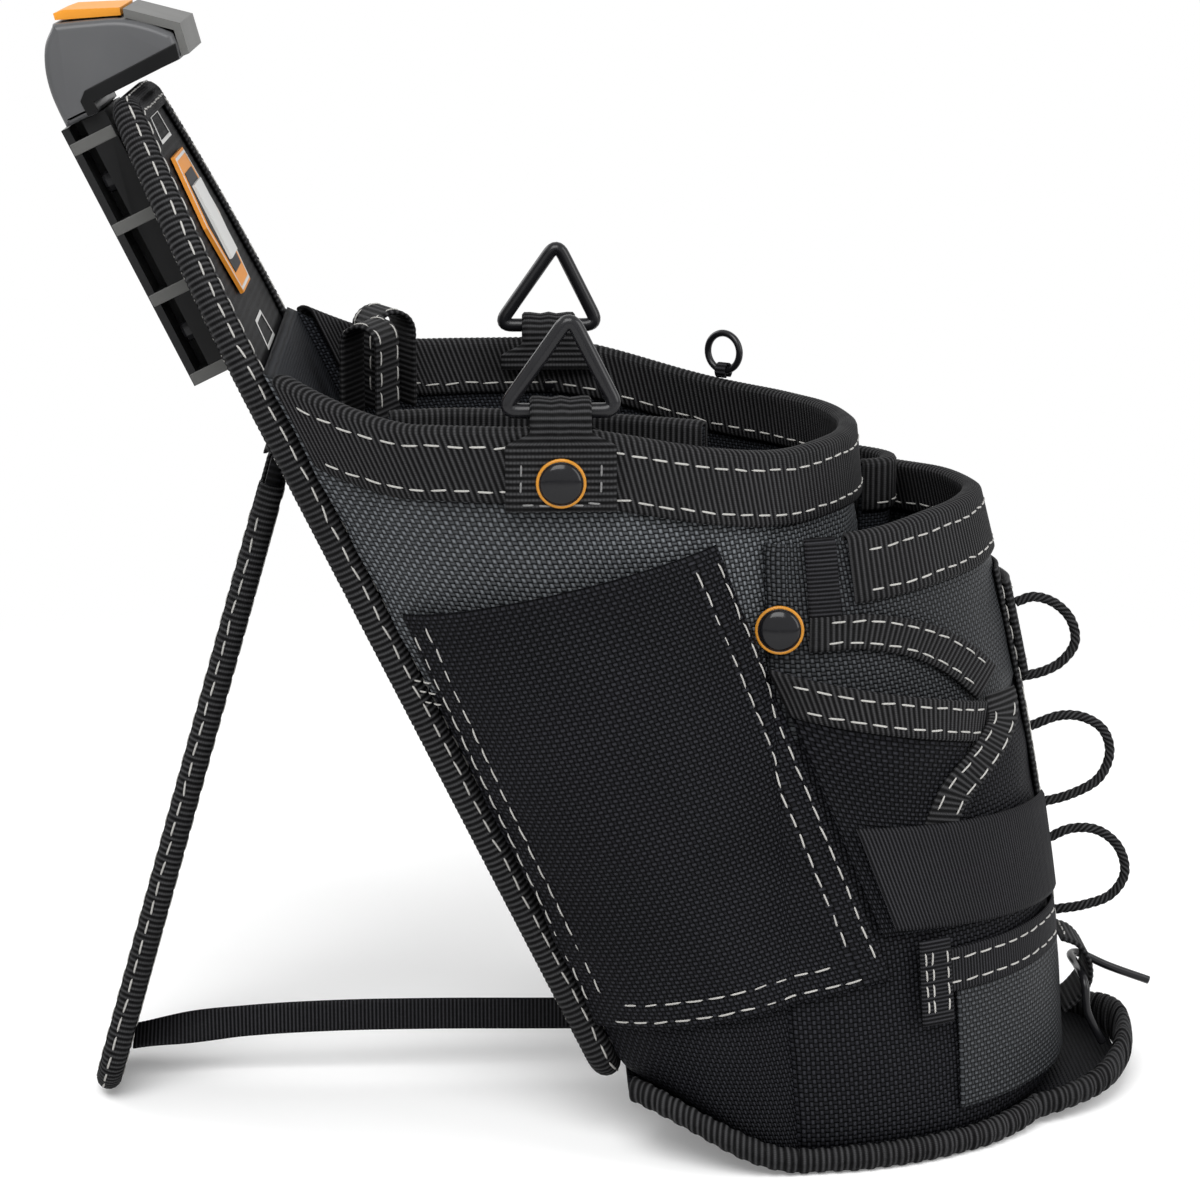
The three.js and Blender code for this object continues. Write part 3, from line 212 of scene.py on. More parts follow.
def ribbed(name, low, high, pitch=RIB_PITCH, rough=0.55, fine=0.62, twist=0.0):
    """Ribbed webbing: the ribs are in the mesh, the yarns across them are here, with a painted highlight on
    the rib crests and painted shade in the grooves and between the yarns.
    """
    material, tree, shader = new_material(name, rough, 0.04)
    g = Graph(tree)
    along, across = g.cloth_mm()
    if twist:
        along = g.times_plus(across, twist, along)
    wave = g.math("COSINE", g.times(along, math.pi / pitch))
    rib = g.math("POWER", g.math("ABSOLUTE", wave), 4.0)
    yarn = g.math("ABSOLUTE", g.math("SINE", g.times(across, math.pi / fine)))
    worn = g.noise(22, 4)
    fuzz = g.noise(900, 2)
    # Painted highlight on the rib crests and painted shade between ribs and yarns; wear varies it.
    tone = g.times(g.times(rib, g.times_plus(yarn, 0.5, 0.5)), g.times_plus(worn, 1.0, 0.45))
    tone = g.times_plus(fuzz, 0.15, tone, clamp=True)
    tree.links.new(g.colour(tone, low, high), shader.inputs["Base Color"])
    tree.links.new(g.times_plus(worn, 0.2, rough - 0.1), shader.inputs["Roughness"])
    g.bump(g.plus(g.times(yarn, 0.5), g.times(fuzz, 0.4)), 0.5, 0.2, shader)
    return material


def moulded(name, base, rough=0.42, grain=260, edge=0.35, specular=0.5):
    """Moulded plastic: a fine grain, faint scuffs and a painted highlight that makes sharp edges lighter."""
    material, tree, shader = new_material(name, rough, specular)
    g = Graph(tree)
    spots = g.noise(grain, 6)
    scuff = g.noise(38, 8)
    point = g.node("ShaderNodeNewGeometry").outputs["Pointiness"]
    # Painted highlight: sharp edges, found by pointiness, are made lighter.
    edge_highlight = g.times(g.math("SUBTRACT", point, 0.53), 9, clamp=True)
    tone = g.plus(g.times(edge_highlight, edge), g.times(scuff, 0.12), clamp=True)
    lighter = tuple(min(1.0, 0.05 + 1.5 * c) for c in base)
    tree.links.new(g.colour(tone, base, lighter), shader.inputs["Base Color"])
    tree.links.new(g.times_plus(scuff, 0.22, rough - 0.08), shader.inputs["Roughness"])
    g.bump(spots, 0.25, 0.12, shader)
    return material


def coated(name, base, rough=0.22):
    """Gloss-coated metal with small flow marks in the coat."""
    material, tree, shader = new_material(name, rough, 0.2)
    g = Graph(tree)
    flow = g.noise(120, 4)
    tree.links.new(g.colour(flow, base, tuple(1.6 * c + 0.002 for c in base)), shader.inputs["Base Color"])
    tree.links.new(g.times_plus(flow, 0.2, rough - 0.08), shader.inputs["Roughness"])
    shader.inputs["Coat Weight"].default_value = 0.12
    shader.inputs["Coat Roughness"].default_value = 0.12
    g.bump(flow, 0.15, 0.1, shader)
    return material


def thread(name, base):
    """Bonded sewing thread: two twisted plies, with painted shade in the grooves between them."""
    material, tree, shader = new_material(name, 0.5, 0.4)
    g = Graph(tree)
    along, across = g.cloth_mm()
    twist = g.times_plus(along, 4.2, g.times(across, 5.0))
    ply = g.math("ABSOLUTE", g.math("SINE", twist))
    spots = g.noise(60, 3)
    # Painted shade darkens the grooves between the plies; spots vary it.
    tone = g.times(g.times_plus(ply, 0.45, 0.55), g.times_plus(spots, 0.7, 0.5), clamp=True)
    tree.links.new(g.colour(tone, tuple(0.3 * c for c in base), base), shader.inputs["Base Color"])
    g.bump(ply, 0.5, 0.15, shader)
    return material


DARK_CLOTH = ballistic("dark_ballistic", (0.0003, 0.0003, 0.0004), (0.0235, 0.024, 0.0285))
GREY_CLOTH = ballistic("grey_ballistic", (0.0007, 0.0008, 0.001), (0.14, 0.15, 0.162), rough=0.42,
                       specular=0.12)
# A darker copy of the grey cloth, as painted shade on the panels that use it.
SHADE_CLOTH = ballistic("shaded_ballistic", (0.0006, 0.0007, 0.0009), (0.06, 0.064, 0.07), rough=0.42,
                        specular=0.1)
LINING = ballistic("lining", (0.001, 0.001, 0.0013), (0.03, 0.033, 0.039), cell=1.1, rough=0.6, specular=0.05)
WEBBING = ribbed("webbing", (0.0003, 0.0003, 0.0004), (0.048, 0.048, 0.05))
FINE_WEB = ribbed("fine_webbing", (0.0005, 0.0005, 0.0006), (0.036, 0.036, 0.04), pitch=FINE_PITCH, fine=0.5)
CORD_MAT = ribbed("cord_braid", (0.001, 0.001, 0.001), (0.05, 0.05, 0.052), rough=0.6, twist=0.9)
BOARD_CLOTH = ribbed("board_cloth", (0.0006, 0.0006, 0.0007), (0.012, 0.012, 0.0135), pitch=2.6, fine=0.9)
STAND_CLOTH = ribbed("stand_cloth", (0.0006, 0.0006, 0.0007), (0.011, 0.011, 0.0125), pitch=2.2, fine=0.8)
THREAD = thread("light_thread", (0.5, 0.49, 0.465))
DARK_THREAD = thread("grey_thread", (0.2, 0.2, 0.2))
HUB_MAT = moulded("hub_plastic", (0.062, 0.063, 0.066), 0.36, edge=0.12, specular=0.35)
CLIP_MAT = moulded("clip_plastic", (0.0018, 0.0019, 0.0022), 0.32, edge=0.2, specular=0.12)
TRIM_MAT = moulded("trim_plastic", (0.055, 0.055, 0.052), 0.5)
ORANGE_MAT = moulded("orange_plastic", (0.68, 0.26, 0.02), 0.42, edge=0.06, specular=0.2)
LABEL_MAT = moulded("label_orange", (0.6, 0.22, 0.02), 0.5, grain=700, edge=0.06, specular=0.2)
LABEL_DARK = moulded("label_dark", (0.012, 0.012, 0.014), 0.55, grain=700, edge=0.05, specular=0.1)
LABEL_LIGHT = moulded("label_light", (0.5, 0.5, 0.49), 0.5, grain=500, edge=0.1)
WIRE_MAT = coated("black_wire", (0.006, 0.006, 0.007))
RIVET_MAT = coated("rivet_cap", (0.004, 0.004, 0.005), 0.12)
RIVET_RING = coated("rivet_ring", (0.36, 0.15, 0.014), 0.3)
SCREW_MAT = coated("screw", (0.01, 0.01, 0.011), 0.2)


# ------------------------------------------------------------------ mesh helpers
def smoothstep(value):
    value = np.clip(value, 0, 1)
    return value * value * (3 - 2 * value)


def unit(vectors):
    return vectors / np.maximum(np.linalg.norm(vectors, axis=-1, keepdims=True), 1e-9)


def run_lengths(points):
    """How far along a line each of its points is."""
    return np.concatenate([[0], np.cumsum(np.linalg.norm(np.diff(points, axis=0), axis=1))])


def circle(count):
    """Angles an even step apart, once round."""
    return 2 * math.pi * np.arange(count) / count


def settle(obj, body, replaced):
    """Puts a piece on its body and hides the nodes it stands for."""
    if body:
        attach(obj, body)
    if replaced:
        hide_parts(*replaced)
    return obj


def make_mesh(name, points, quads, materials, uv=None, kinds=None, triangles=None, smooth=True):
    """points in the design's millimetres; quads and triangles index them; uv is per point, in millimetres."""
    faces = [tuple(map(int, face)) for face in quads]
    if triangles is not None:
        faces += [tuple(map(int, face)) for face in triangles]
    mesh = bpy.data.meshes.new(name)
    mesh.from_pydata(metres(points).tolist(), [], faces)
    for material in materials:
        mesh.materials.append(material)
    if kinds is not None:
        mesh.polygons.foreach_set("material_index", np.asarray(kinds, np.int32))
    if uv is not None:
        layer = mesh.uv_layers.new(name="UVMap")
        corners = np.empty(len(mesh.loops), np.int32)
        mesh.loops.foreach_get("vertex_index", corners)
        layer.data.foreach_set("uv", (np.asarray(uv, np.float32)[corners] / UV_MM).ravel())
    mesh.polygons.foreach_set("use_smooth", np.full(len(mesh.polygons), smooth))
    mesh.update()
    return add_object(name, mesh)


def grid_quads(rows, columns, start=0, around=False):
    """Quads of a rows x columns grid of points; around closes the columns into a ring."""
    wide = columns if around else columns - 1
    r, c = np.meshgrid(np.arange(rows - 1), np.arange(wide), indexing="ij")
    n = (c + 1) % columns
    quads = np.stack([r * columns + c, r * columns + n, (r + 1) * columns + n, (r + 1) * columns + c], -1)
    return quads.reshape(-1, 4) + start


def waves(points, size, seed):
    """Smooth unevenness between -1 and 1 with bumps about size mm apart."""
    rng = np.random.default_rng(seed)
    total = np.zeros(points.shape[:-1])
    for _ in range(7):
        heading = unit(rng.normal(size=3))
        total += np.sin(points @ heading * (2 * math.pi / size) * rng.uniform(0.6, 1.5) + rng.uniform(0, 6.3))
    return total / 4


class Surface:
    """A grid of points, rows along a piece and columns across it, with its normals and lengths."""

    def __init__(self, points):
        self.points = points
        along = np.gradient(points, axis=0)
        across = np.gradient(points, axis=1)
        self.normals = unit(np.cross(along, across))
        middle = points[:, points.shape[1] // 2]
        self.along = run_lengths(middle)
        row = points[points.shape[0] // 2]
        self.across = run_lengths(row)

    def face(self, agreement):
        """Turns the normals round if the given measure of where they point is negative."""
        if agreement < 0:
            self.normals *= -1
        return self

    def line(self, distance):
        """The points and normals along the piece at a distance across it."""
        distance = distance if distance >= 0 else self.across[-1] + distance
        j = int(np.clip(np.searchsorted(self.across, distance) - 1, 0, len(self.across) - 2))
        share = (distance - self.across[j]) / max(self.across[j + 1] - self.across[j], 1e-9)
        points = self.points[:, j] * (1 - share) + self.points[:, j + 1] * share
        return points, unit(self.normals[:, j] * (1 - share) + self.normals[:, j + 1] * share)

    def cross_line(self, share):
        """The points and normals across the piece at a share of its length."""
        i = int(np.clip(round(share * (len(self.along) - 1)), 0, len(self.along) - 1))
        return self.points[i], self.normals[i]


def slab(name, surface, thick, material, body=POUCH, replaced=(), rib=0.0,
         pitch=RIB_PITCH, uneven=0.0, seed=1):
    """A strip or panel of even thickness about a surface, with rounded edges and ribs across it."""
    points, normals = surface.points, surface.normals
    rows, columns = points.shape[:2]
    edge = np.minimum(np.arange(columns), columns - 1 - np.arange(columns))
    round_off = np.where(edge == 0, 0.25, 1.0)
    height = rib * np.abs(np.cos(surface.along * math.pi / pitch)) ** 0.7 - rib / 2
    wrinkle = uneven * waves(points, 26, seed) if uneven else 0
    ends = np.minimum(np.arange(rows), rows - 1 - np.arange(rows)) == 0
    half = (thick / 2) * round_off[None, :] * np.where(ends, 0.3, 1.0)[:, None]
    outer = points + normals * (half + height[:, None] * round_off[None, :] + wrinkle)[..., None]
    inner = points - normals * (half - height[:, None] * round_off[None, :] * 0.5 - wrinkle)[..., None]
    all_points = np.concatenate([outer.reshape(-1, 3), inner.reshape(-1, 3)])
    uv = np.stack(np.broadcast_arrays(surface.along[:, None], surface.across[None, :]), -1).reshape(-1, 2)
    count = rows * columns
    quads = [grid_quads(rows, columns)[:, ::-1], grid_quads(rows, columns, count)]
    index = np.arange(count).reshape(rows, columns)
    for border, turned in ((index[0], False), (index[-1], True), (index[:, 0], True), (index[:, -1], False)):
        a, b = border[:-1], border[1:]
        strip = np.stack([a, b, b + count, a + count], -1)
        quads.append(strip[:, ::-1] if turned else strip)
    obj = make_mesh(name, all_points, np.concatenate(quads), [material], np.concatenate([uv, uv]))
    return settle(obj, body, replaced)


STITCHES = {}
STITCH_ROWS, STITCH_SIDES = 7, 6


def stitch(group, points, normals, lift, pitch=7.0, length=5.5, width=0.66, trim=(3, 3), seed=3):
    """Adds a row of single stitches along a line to the group's list."""
    rng = np.random.default_rng(seed)
    lengths = run_lengths(points)
    total = lengths[-1]
    count = int((total - trim[0] - trim[1]) // pitch)
    if count < 1:
        return
    centres = trim[0] + pitch * (np.arange(count) + 0.5) + (total - trim[0] - trim[1] - count * pitch) / 2

    def at(distance, values):
        return np.stack([np.interp(distance, lengths, values[:, k]) for k in range(3)], -1)

    stations = np.linspace(-1, 1, STITCH_ROWS)
    where = centres[:, None] + stations[None, :] * (length / 2) * rng.uniform(0.93, 1.04, (count, 1))
    middle = at(where, points)
    normal = unit(at(where, normals))
    ahead = unit(at(where + 0.4, points) - at(where - 0.4, points))
    side = unit(np.cross(normal, ahead))
    sway = rng.normal(0, 0.12, (count, 1)) + rng.normal(0, 0.16, (count, 1)) * stations[None, :]
    middle = middle + side * sway[..., None]
    sink = (1 - stations[None, :] ** 4) * 0.55 * width - 0.35 * width
    radius = (width / 2) * np.sqrt(np.clip(1.08 - stations ** 6, 0.02, 1))
    middle = middle + normal * (lift + np.broadcast_to(sink, where.shape))[..., None]
    turns = circle(STITCH_SIDES)
    ring = (side[:, :, None, :] * np.cos(turns)[None, None, :, None]
            + normal[:, :, None, :] * 0.75 * np.sin(turns)[None, None, :, None])
    verts = middle[:, :, None, :] + ring * radius[None, :, None, None]
    around = np.broadcast_to(turns / 6.28 * 2.6, where.shape + (STITCH_SIDES,))
    uv = np.stack([np.broadcast_to(where[..., None], around.shape), around], -1)
    STITCHES.setdefault(group, []).append((verts, uv))


def stitch_rows(group, surface, distances, lift=ON_WEB, **settings):
    """Rows of stitches along a piece, at distances from one edge or, if negative, from the other."""
    for distance in distances:
        stitch(group, *surface.line(distance), lift, **settings)


def sew(group, name, material=THREAD, body=POUCH):
    """Makes one mesh of all the stitches of a group."""
    parts = STITCHES.pop(group)
    points = np.concatenate([verts.reshape(-1, 3) for verts, _ in parts])
    uv = np.concatenate([part.reshape(-1, 2) for _, part in parts])
    quads = [grid_quads(STITCH_ROWS, STITCH_SIDES, start, around=True)
             for start in range(0, len(points), STITCH_ROWS * STITCH_SIDES)]
    obj = make_mesh(name, points, np.concatenate(quads), [material], uv)
    return settle(obj, body, ())


def webbing(name, surface, node=None):
    """A strip of ribbed webbing, in the place of a node if one is given."""
    return slab(name, surface, WEB, WEBBING, replaced=[node] if node else (), rib=WEB_RIB)


def sweep_tube(name, path, radius, material, sides=14, body=POUCH, replaced=(),
               closed=False, relief=None):
    """A round tube along points; relief(s, angle) adds to its radius."""
    path = np.asarray(path, float)
    if closed:
        ahead = unit(np.roll(path, -1, 0) - np.roll(path, 1, 0))
    else:
        ahead = unit(np.gradient(path, axis=0))
    normal = np.zeros_like(path)
    guess = np.array([0.0, 1.0, 0.0]) if abs(ahead[0][1]) < 0.9 else np.array([0.0, 0.0, 1.0])
    for i in range(len(path)):
        guess = guess - ahead[i] * (guess @ ahead[i])
        guess = guess / np.linalg.norm(guess)
        normal[i] = guess
    side = np.cross(ahead, normal)
    lengths = run_lengths(path)
    angle = circle(sides)
    reach = np.full((len(path), sides), float(radius))
    if relief is not None:
        reach = reach + relief(lengths[:, None], angle[None, :])
    points = path[:, None] + reach[..., None] * (normal[:, None] * np.cos(angle)[None, :, None]
                                                 + side[:, None] * np.sin(angle)[None, :, None])
    uv = np.stack(np.broadcast_arrays(lengths[:, None], angle[None, :] * radius), -1).reshape(-1, 2)
    points = points.reshape(-1, 3)
    if closed:
        quads = grid_quads(len(path) + 1, sides, around=True) % len(points)
        obj = make_mesh(name, points, quads, [material], uv)
    else:
        quads = grid_quads(len(path), sides, around=True)
        tips, triangles = [], []
        for end, sign in ((0, -1), (len(path) - 1, 1)):
            tips.append(path[end] + ahead[end] * sign * radius * 0.25)
            j = np.arange(sides)
            fan = np.stack([end * sides + j, end * sides + (j + 1) % sides,
                            np.full(sides, len(points) + len(tips) - 1)], -1)
            triangles.append(fan if sign > 0 else fan[:, ::-1])
        points = np.concatenate([points, np.array(tips)])
        uv = np.concatenate([uv, np.zeros((2, 2))])
        obj = make_mesh(name, points, quads, [material], uv, triangles=np.concatenate(triangles))
    return settle(obj, body, replaced)


def smooth_route(corners, steps):
    """A centripetal Catmull-Rom curve through points."""
    corners = np.asarray(corners, float)
    first = 2 * corners[0] - corners[1]
    last = 2 * corners[-1] - corners[-2]
    p = np.concatenate([[first], corners, [last]])
    route = []
    spans = len(corners) - 1
    for step in range(steps + 1):
        place = step / steps * spans
        k = min(int(place), spans - 1)
        w = place - k
        a, b, c, d = p[k:k + 4]
        dt0, dt1, dt2 = (max(np.linalg.norm(q - r) ** 0.5, 1e-4) for q, r in ((b, a), (c, b), (d, c)))
        t1 = ((b - a) / dt0 - (c - a) / (dt0 + dt1) + (c - b) / dt1) * dt1
        t2 = ((c - b) / dt1 - (d - b) / (dt1 + dt2) + (d - c) / dt2) * dt1
        square, cube = -3 * b + 3 * c - 2 * t1 - t2, 2 * b - 2 * c + t1 + t2
        route.append(b + t1 * w + square * w ** 2 + cube * w ** 3)
    return np.array(route)


def side_route(corners, steps):
    """A smooth route in the side view through (x, z) corners."""
    return smooth_route([[x, 0, z] for x, z in corners], steps)


def spaced(path, step):
    """The same line with points an even step apart."""
    lengths = run_lengths(path)
    wanted = np.linspace(0, lengths[-1], max(int(lengths[-1] / step), 4) + 1)
    return np.stack([np.interp(wanted, lengths, path[:, k]) for k in range(path.shape[1])], -1)


# ------------------------------------------------------------------ cord loops
CORD, BRAID_PITCH = 3.4, 5.2
CORD_ROUTES = [
    [[138.4, 163.2], [144, 165], [151, 163], [157, 157], [158.5, 149], [154, 142.5], [148, 139.3],
     [141.0, 137.7]],
    [[144.4, 120.5], [154, 124], [162, 123.5], [169, 119], [171.5, 111], [168, 102], [158.5, 96.5],
     [149.2, 94]],
    [[151, 81], [159, 84.5], [168, 84], [175.5, 78], [178, 68.5], [173.5, 61], [164.5, 57.5], [154.4, 56]],
]


def braid(s, angle):
    """The relief of three strands laid round each other."""
    twist = 2 * math.pi * s / BRAID_PITCH
    return 0.3 * np.abs(np.cos(1.5 * angle + twist)) - 0.3


for number, route in enumerate(CORD_ROUTES, 1):
    line = side_route(route, 30)
    cord = sweep_tube(f"cord_loop_{number}_braid", spaced(line, 0.3), CORD / 2, CORD_MAT, 24,
                      replaced=[f"cord_loop_{number}"], relief=braid)


# ------------------------------------------------------------------ the pouch's surfaces
LEAN = math.radians(64)
UP_X, UP_Z = -math.cos(LEAN), math.sin(LEAN)
FOOT_X, FOOT_Z = 2, 22
BOARD_FACE = 4.5 + GAP
RIM, FRONT_RIM = 224, 201
MAIN_HALF, FRONT_HALF = 91, 91
MAIN_CENTRE, MAIN_DRIFT = 55, 0.33     # where the main pocket is widest at the floor; back per mm of height
MAIN_NOSE, MAIN_NOSE_DRIFT = 82, 0.1   # its nose at the rim; forward per mm below it
FRONT_CENTRE, FRONT_REAR = 55, 40
FRONT_NOSE, FRONT_NOSE_DRAW = 156, 32  # its nose at the floor; how far it draws back up to the rim
FRONT_DRAW = 17                        # how much narrower it is at the rim
POINTED_FROM, POINTED_SPAN = 107, 96
BOARD_HALF, BOARD_LENGTH = 71, 346
BASE_THICK = 3
FLOOR_ROUND = 8


def on_board(t, s, y):
    """A place in the board's own frame: t up along it, s off its middle and y across."""
    t, s, y = np.broadcast_arrays(np.asarray(t, float), s, y)
    return np.stack([FOOT_X + t * UP_X + s * UP_Z, y, FOOT_Z + t * UP_Z - s * UP_X], -1)


def board_x(z, s):
    """Where the plane at s off the board's middle is at height z."""
    t = (z - FOOT_Z + s * UP_X) / UP_Z
    return FOOT_X + t * UP_X + s * UP_Z


def base_height(x):
    """The height of the bottom's underside: it rises to the board and a little to the nose."""
    return 21 * smoothstep((62 - x) / 60) + 5 * smoothstep((x - 115) / 59)


def rim_height(x):
    return RIM + 13 * smoothstep((60 - x) / 80) + 22 * np.maximum(0, (-x - 60) / 55) ** 1.5


def front_rim_height(x):
    return FRONT_RIM + 3 * smoothstep((x - 70) / 50) - 2


MAIN_TURN = math.pi - math.asin(BOARD_HALF / MAIN_HALF)


def main_point(turn, z, inset=0.0):
    """The outline of the main pocket at height z, from the nose (turn = 0) to the board."""
    turn, z, inset = np.broadcast_arrays(np.asarray(turn, float), z, inset)
    centre = MAIN_CENTRE - MAIN_DRIFT * z
    front = MAIN_NOSE + MAIN_NOSE_DRIFT * (RIM - z) - inset
    rear = board_x(z, BOARD_FACE + inset)
    reach = np.where(np.cos(turn) > 0, front - centre, (centre - rear) / abs(math.cos(MAIN_TURN)))
    return np.stack([centre + reach * np.cos(turn), (MAIN_HALF - inset) * np.sin(turn), z], -1)


def front_power(z):
    """The front pocket's outline is round at its foot and more pointed at its rim."""
    return 2 - 0.35 * np.clip((z - POINTED_FROM) / POINTED_SPAN, 0, 1)


def front_point(turn, z, inset=0.0):
    """The outline of the front pocket at height z."""
    turn, z, inset = np.broadcast_arrays(np.asarray(turn, float), z, inset)
    power = front_power(z)
    tip = FRONT_NOSE - FRONT_NOSE_DRAW * (np.maximum(z, 0) / FRONT_RIM) ** 1.6 - inset
    reach = np.where(np.cos(turn) > 0, tip - FRONT_CENTRE, FRONT_REAR - inset)
    half = FRONT_HALF - FRONT_DRAW * (z / FRONT_RIM) - inset
    along = np.sign(np.cos(turn)) * np.abs(np.cos(turn)) ** (2 / power)
    across = np.sign(np.sin(turn)) * np.abs(np.sin(turn)) ** (2 / power)
    return np.stack([FRONT_CENTRE + reach * along, half * across, z], -1)


def pocket_point(outline, rim, turn, v, inset, rise=0.0):
    """A pocket's wall from its floor (v = 0) to its rim (v = 1), drawn in over its last millimetres."""
    place = outline(turn, FOOT_Z + (RIM - FOOT_Z) * np.asarray(v, float), inset)
    for _ in range(3):
        floor = base_height(place[..., 0]) + BASE_THICK + GAP
        height = floor + (rim(place[..., 0]) - floor) * v + rise
        low = np.clip(1 - (height - floor) / FLOOR_ROUND, 0, 1)
        place = outline(turn, height, inset + FLOOR_ROUND * (1 - np.sqrt(1 - low * low)) * 0.7)
    return place


def half_width(x, z):
    """Half the width of both pockets together at a place in the side view."""
    x, z = np.broadcast_arrays(np.asarray(x, float), np.asarray(z, float))
    centre = MAIN_CENTRE - MAIN_DRIFT * z
    edge = np.where(x > centre, main_point(0.0, z)[..., 0], main_point(math.pi, z)[..., 0])
    main = MAIN_HALF * np.sqrt(1 - np.clip((x - centre) / (edge - centre), 0, 1) ** 2)
    power = np.where(x > FRONT_CENTRE, front_power(z), 2)
    tip = np.where(x > FRONT_CENTRE, front_point(0.0, z)[..., 0], front_point(math.pi, z)[..., 0])
    share = np.clip((x - FRONT_CENTRE) / (tip - FRONT_CENTRE), 0, 1)
    front = front_point(math.pi / 2, z)[..., 1] * (1 - share ** power) ** (1 / power)
    only_main = (z > FRONT_RIM) | (x < FRONT_CENTRE - FRONT_REAR)
    return np.where(only_main, main, np.maximum(main, front))


def side_point(side, x, z, d):
    """The place above (x, z) in the side view that stands d off the pockets' outside."""
    x, z, d = np.broadcast_arrays(np.asarray(x, float), np.asarray(z, float), np.asarray(d, float))
    slope_x = (half_width(x + 2, z) - half_width(x - 2, z)) / 4
    slope_z = (half_width(x, z + 2) - half_width(x, z - 2)) / 4
    normal = unit(np.stack([-slope_x, np.full(x.shape, float(side)), -slope_z], -1))
    return np.stack([x, side * half_width(x, z), z], -1) + normal * d[..., None]


def patch_place(side, corners):
    """Places in a four-cornered patch on the side: s along, t up and d off the wall."""
    (blx, blz), (brx, brz), (trx, trz), (tlx, tlz) = corners

    def place(s, t, d):
        x = (blx + (brx - blx) * s) * (1 - t) + (tlx + (trx - tlx) * s) * t
        z = (blz + (brz - blz) * s) * (1 - t) + (tlz + (trz - tlz) * s) * t
        return side_point(side, x, z, d)
    return place


SIDES = (("near", -1), ("far", 1))

# ------------------------------------------------------------------ pocket shells
STEP = 0.47          # length of one step along ribbed webbing
DEEPEST_DENT = 1.25  # a deeper one would reach the lining
SEAM_Z = 150         # above it the pouch walls are grey cloth, below it dark


def shell(name, outline, rim, turns, levels, node, extra_rear=0):
    """A pocket as a closed skin, open at the top: outer wall, lip, inner wall and floor."""
    rings = []
    for inset, order in ((0.0, levels), (WALL, levels[::-1])):
        for v in order:
            rise = WALL if inset and v < 0.9 else 0.0
            ring = pocket_point(outline, rim, turns, v, inset, rise)
            if extra_rear:
                steps = np.arange(1, extra_rear)[:, None] / extra_rear
                ring = np.concatenate([ring, ring[-1] * (1 - steps) + ring[0] * steps])
            sink = np.zeros(len(ring))
            if not inset:
                sink = 1.3 * waves(ring, 38, 11) + 0.35 * waves(ring, 12, 5) - 1.2
            fade = smoothstep((1 - v) / 0.12) * smoothstep(v / 0.04)
            inward = unit(ring.mean(0) - ring) * [1, 1, 0]
            ring = ring - inward * (np.clip(sink, -DEEPEST_DENT, 0) * fade)[:, None]
            rings.append(ring)
    columns = len(rings[0])
    points = np.concatenate(rings)
    girth = run_lengths(rings[len(levels) // 2])
    uv = np.concatenate([np.stack([girth, ring[:, 2]], -1) for ring in rings])
    quads = grid_quads(len(rings), columns, around=True)
    kinds = np.where(points[quads].mean(1)[:, 2] > SEAM_Z, 0, 1)
    kinds = np.where(quads[:, 0] >= (len(levels) - 1) * columns, 2, kinds)
    centres, fans = [], []
    for row, turned in ((0, False), (len(rings) - 1, True)):
        j = np.arange(columns)
        hub = len(points) + len(centres)
        centres.append(rings[row].mean(0))
        fan = np.stack([row * columns + (j + 1) % columns, row * columns + j, np.full(columns, hub)], -1)
        fans.append(fan[:, ::-1] if turned else fan)
    points = np.concatenate([points, centres])
    uv = np.concatenate([uv, np.zeros((2, 2))])
    kinds = np.concatenate([kinds, np.full(2 * columns, 1)])
    obj = make_mesh(name, points, quads, [GREY_CLOTH, DARK_CLOTH, LINING], uv, kinds,
                    triangles=np.concatenate(fans))
    return settle(obj, POUCH, [node])


FLOOR_LEVELS = [0, 0.004, 0.012, 0.022, 0.035]
LEVELS = np.concatenate([FLOOR_LEVELS, np.linspace(0.06, 1, 34)])
shell("main_pocket", main_point, rim_height, np.linspace(-MAIN_TURN, MAIN_TURN, 150), LEVELS,
      "main_pocket_shell", 24)


def free_turn(z):
    """How far round the front outline goes before it meets the main pocket at height z."""
    turns = np.linspace(0.3, 2.0, 400)
    place = front_point(turns, z)
    level = main_point(np.linspace(0, MAIN_TURN, 900), z, -GAP)
    half_at = np.interp(place[:, 0], level[::-1, 0], level[::-1, 1], left=200)
    front_tip = level[:, 0].max()
    inside = (place[:, 1] < half_at) & (place[:, 0] < front_tip)
    return turns[np.argmax(inside)] if inside.any() else turns[-1]


FRONT_LEVELS = np.concatenate([FLOOR_LEVELS, np.linspace(0.06, 1, 60)])
FRONT_SPAN = np.linspace(-1, 1, 130)
limits = [free_turn(z) for z in FOOT_Z + (RIM - FOOT_Z) * FRONT_LEVELS * 0.9]
limits = np.convolve(np.pad(limits, 2, mode="edge"), np.ones(5) / 5, mode="valid")
points = np.array([pocket_point(front_point, front_rim_height, FRONT_SPAN * limit, v, WALL / 2)
                   for v, limit in zip(FRONT_LEVELS, limits)])
NOSE_COLUMN = len(FRONT_SPAN) // 2
seam_row = np.argmax(points[:, NOSE_COLUMN, 2] > SEAM_Z - 12)
for name, rows, material in (("front_pocket_lower", points[:seam_row + 1], DARK_CLOTH),
                             ("front_pocket_upper", points[seam_row:], SHADE_CLOTH)):
    surface = Surface(np.swapaxes(rows, 0, 1))
    surface.face(surface.normals[NOSE_COLUMN, 3, 0])
    slab(name, surface, WALL, material, replaced=["front_pocket_shell"], uneven=0.3,
         seed=9)
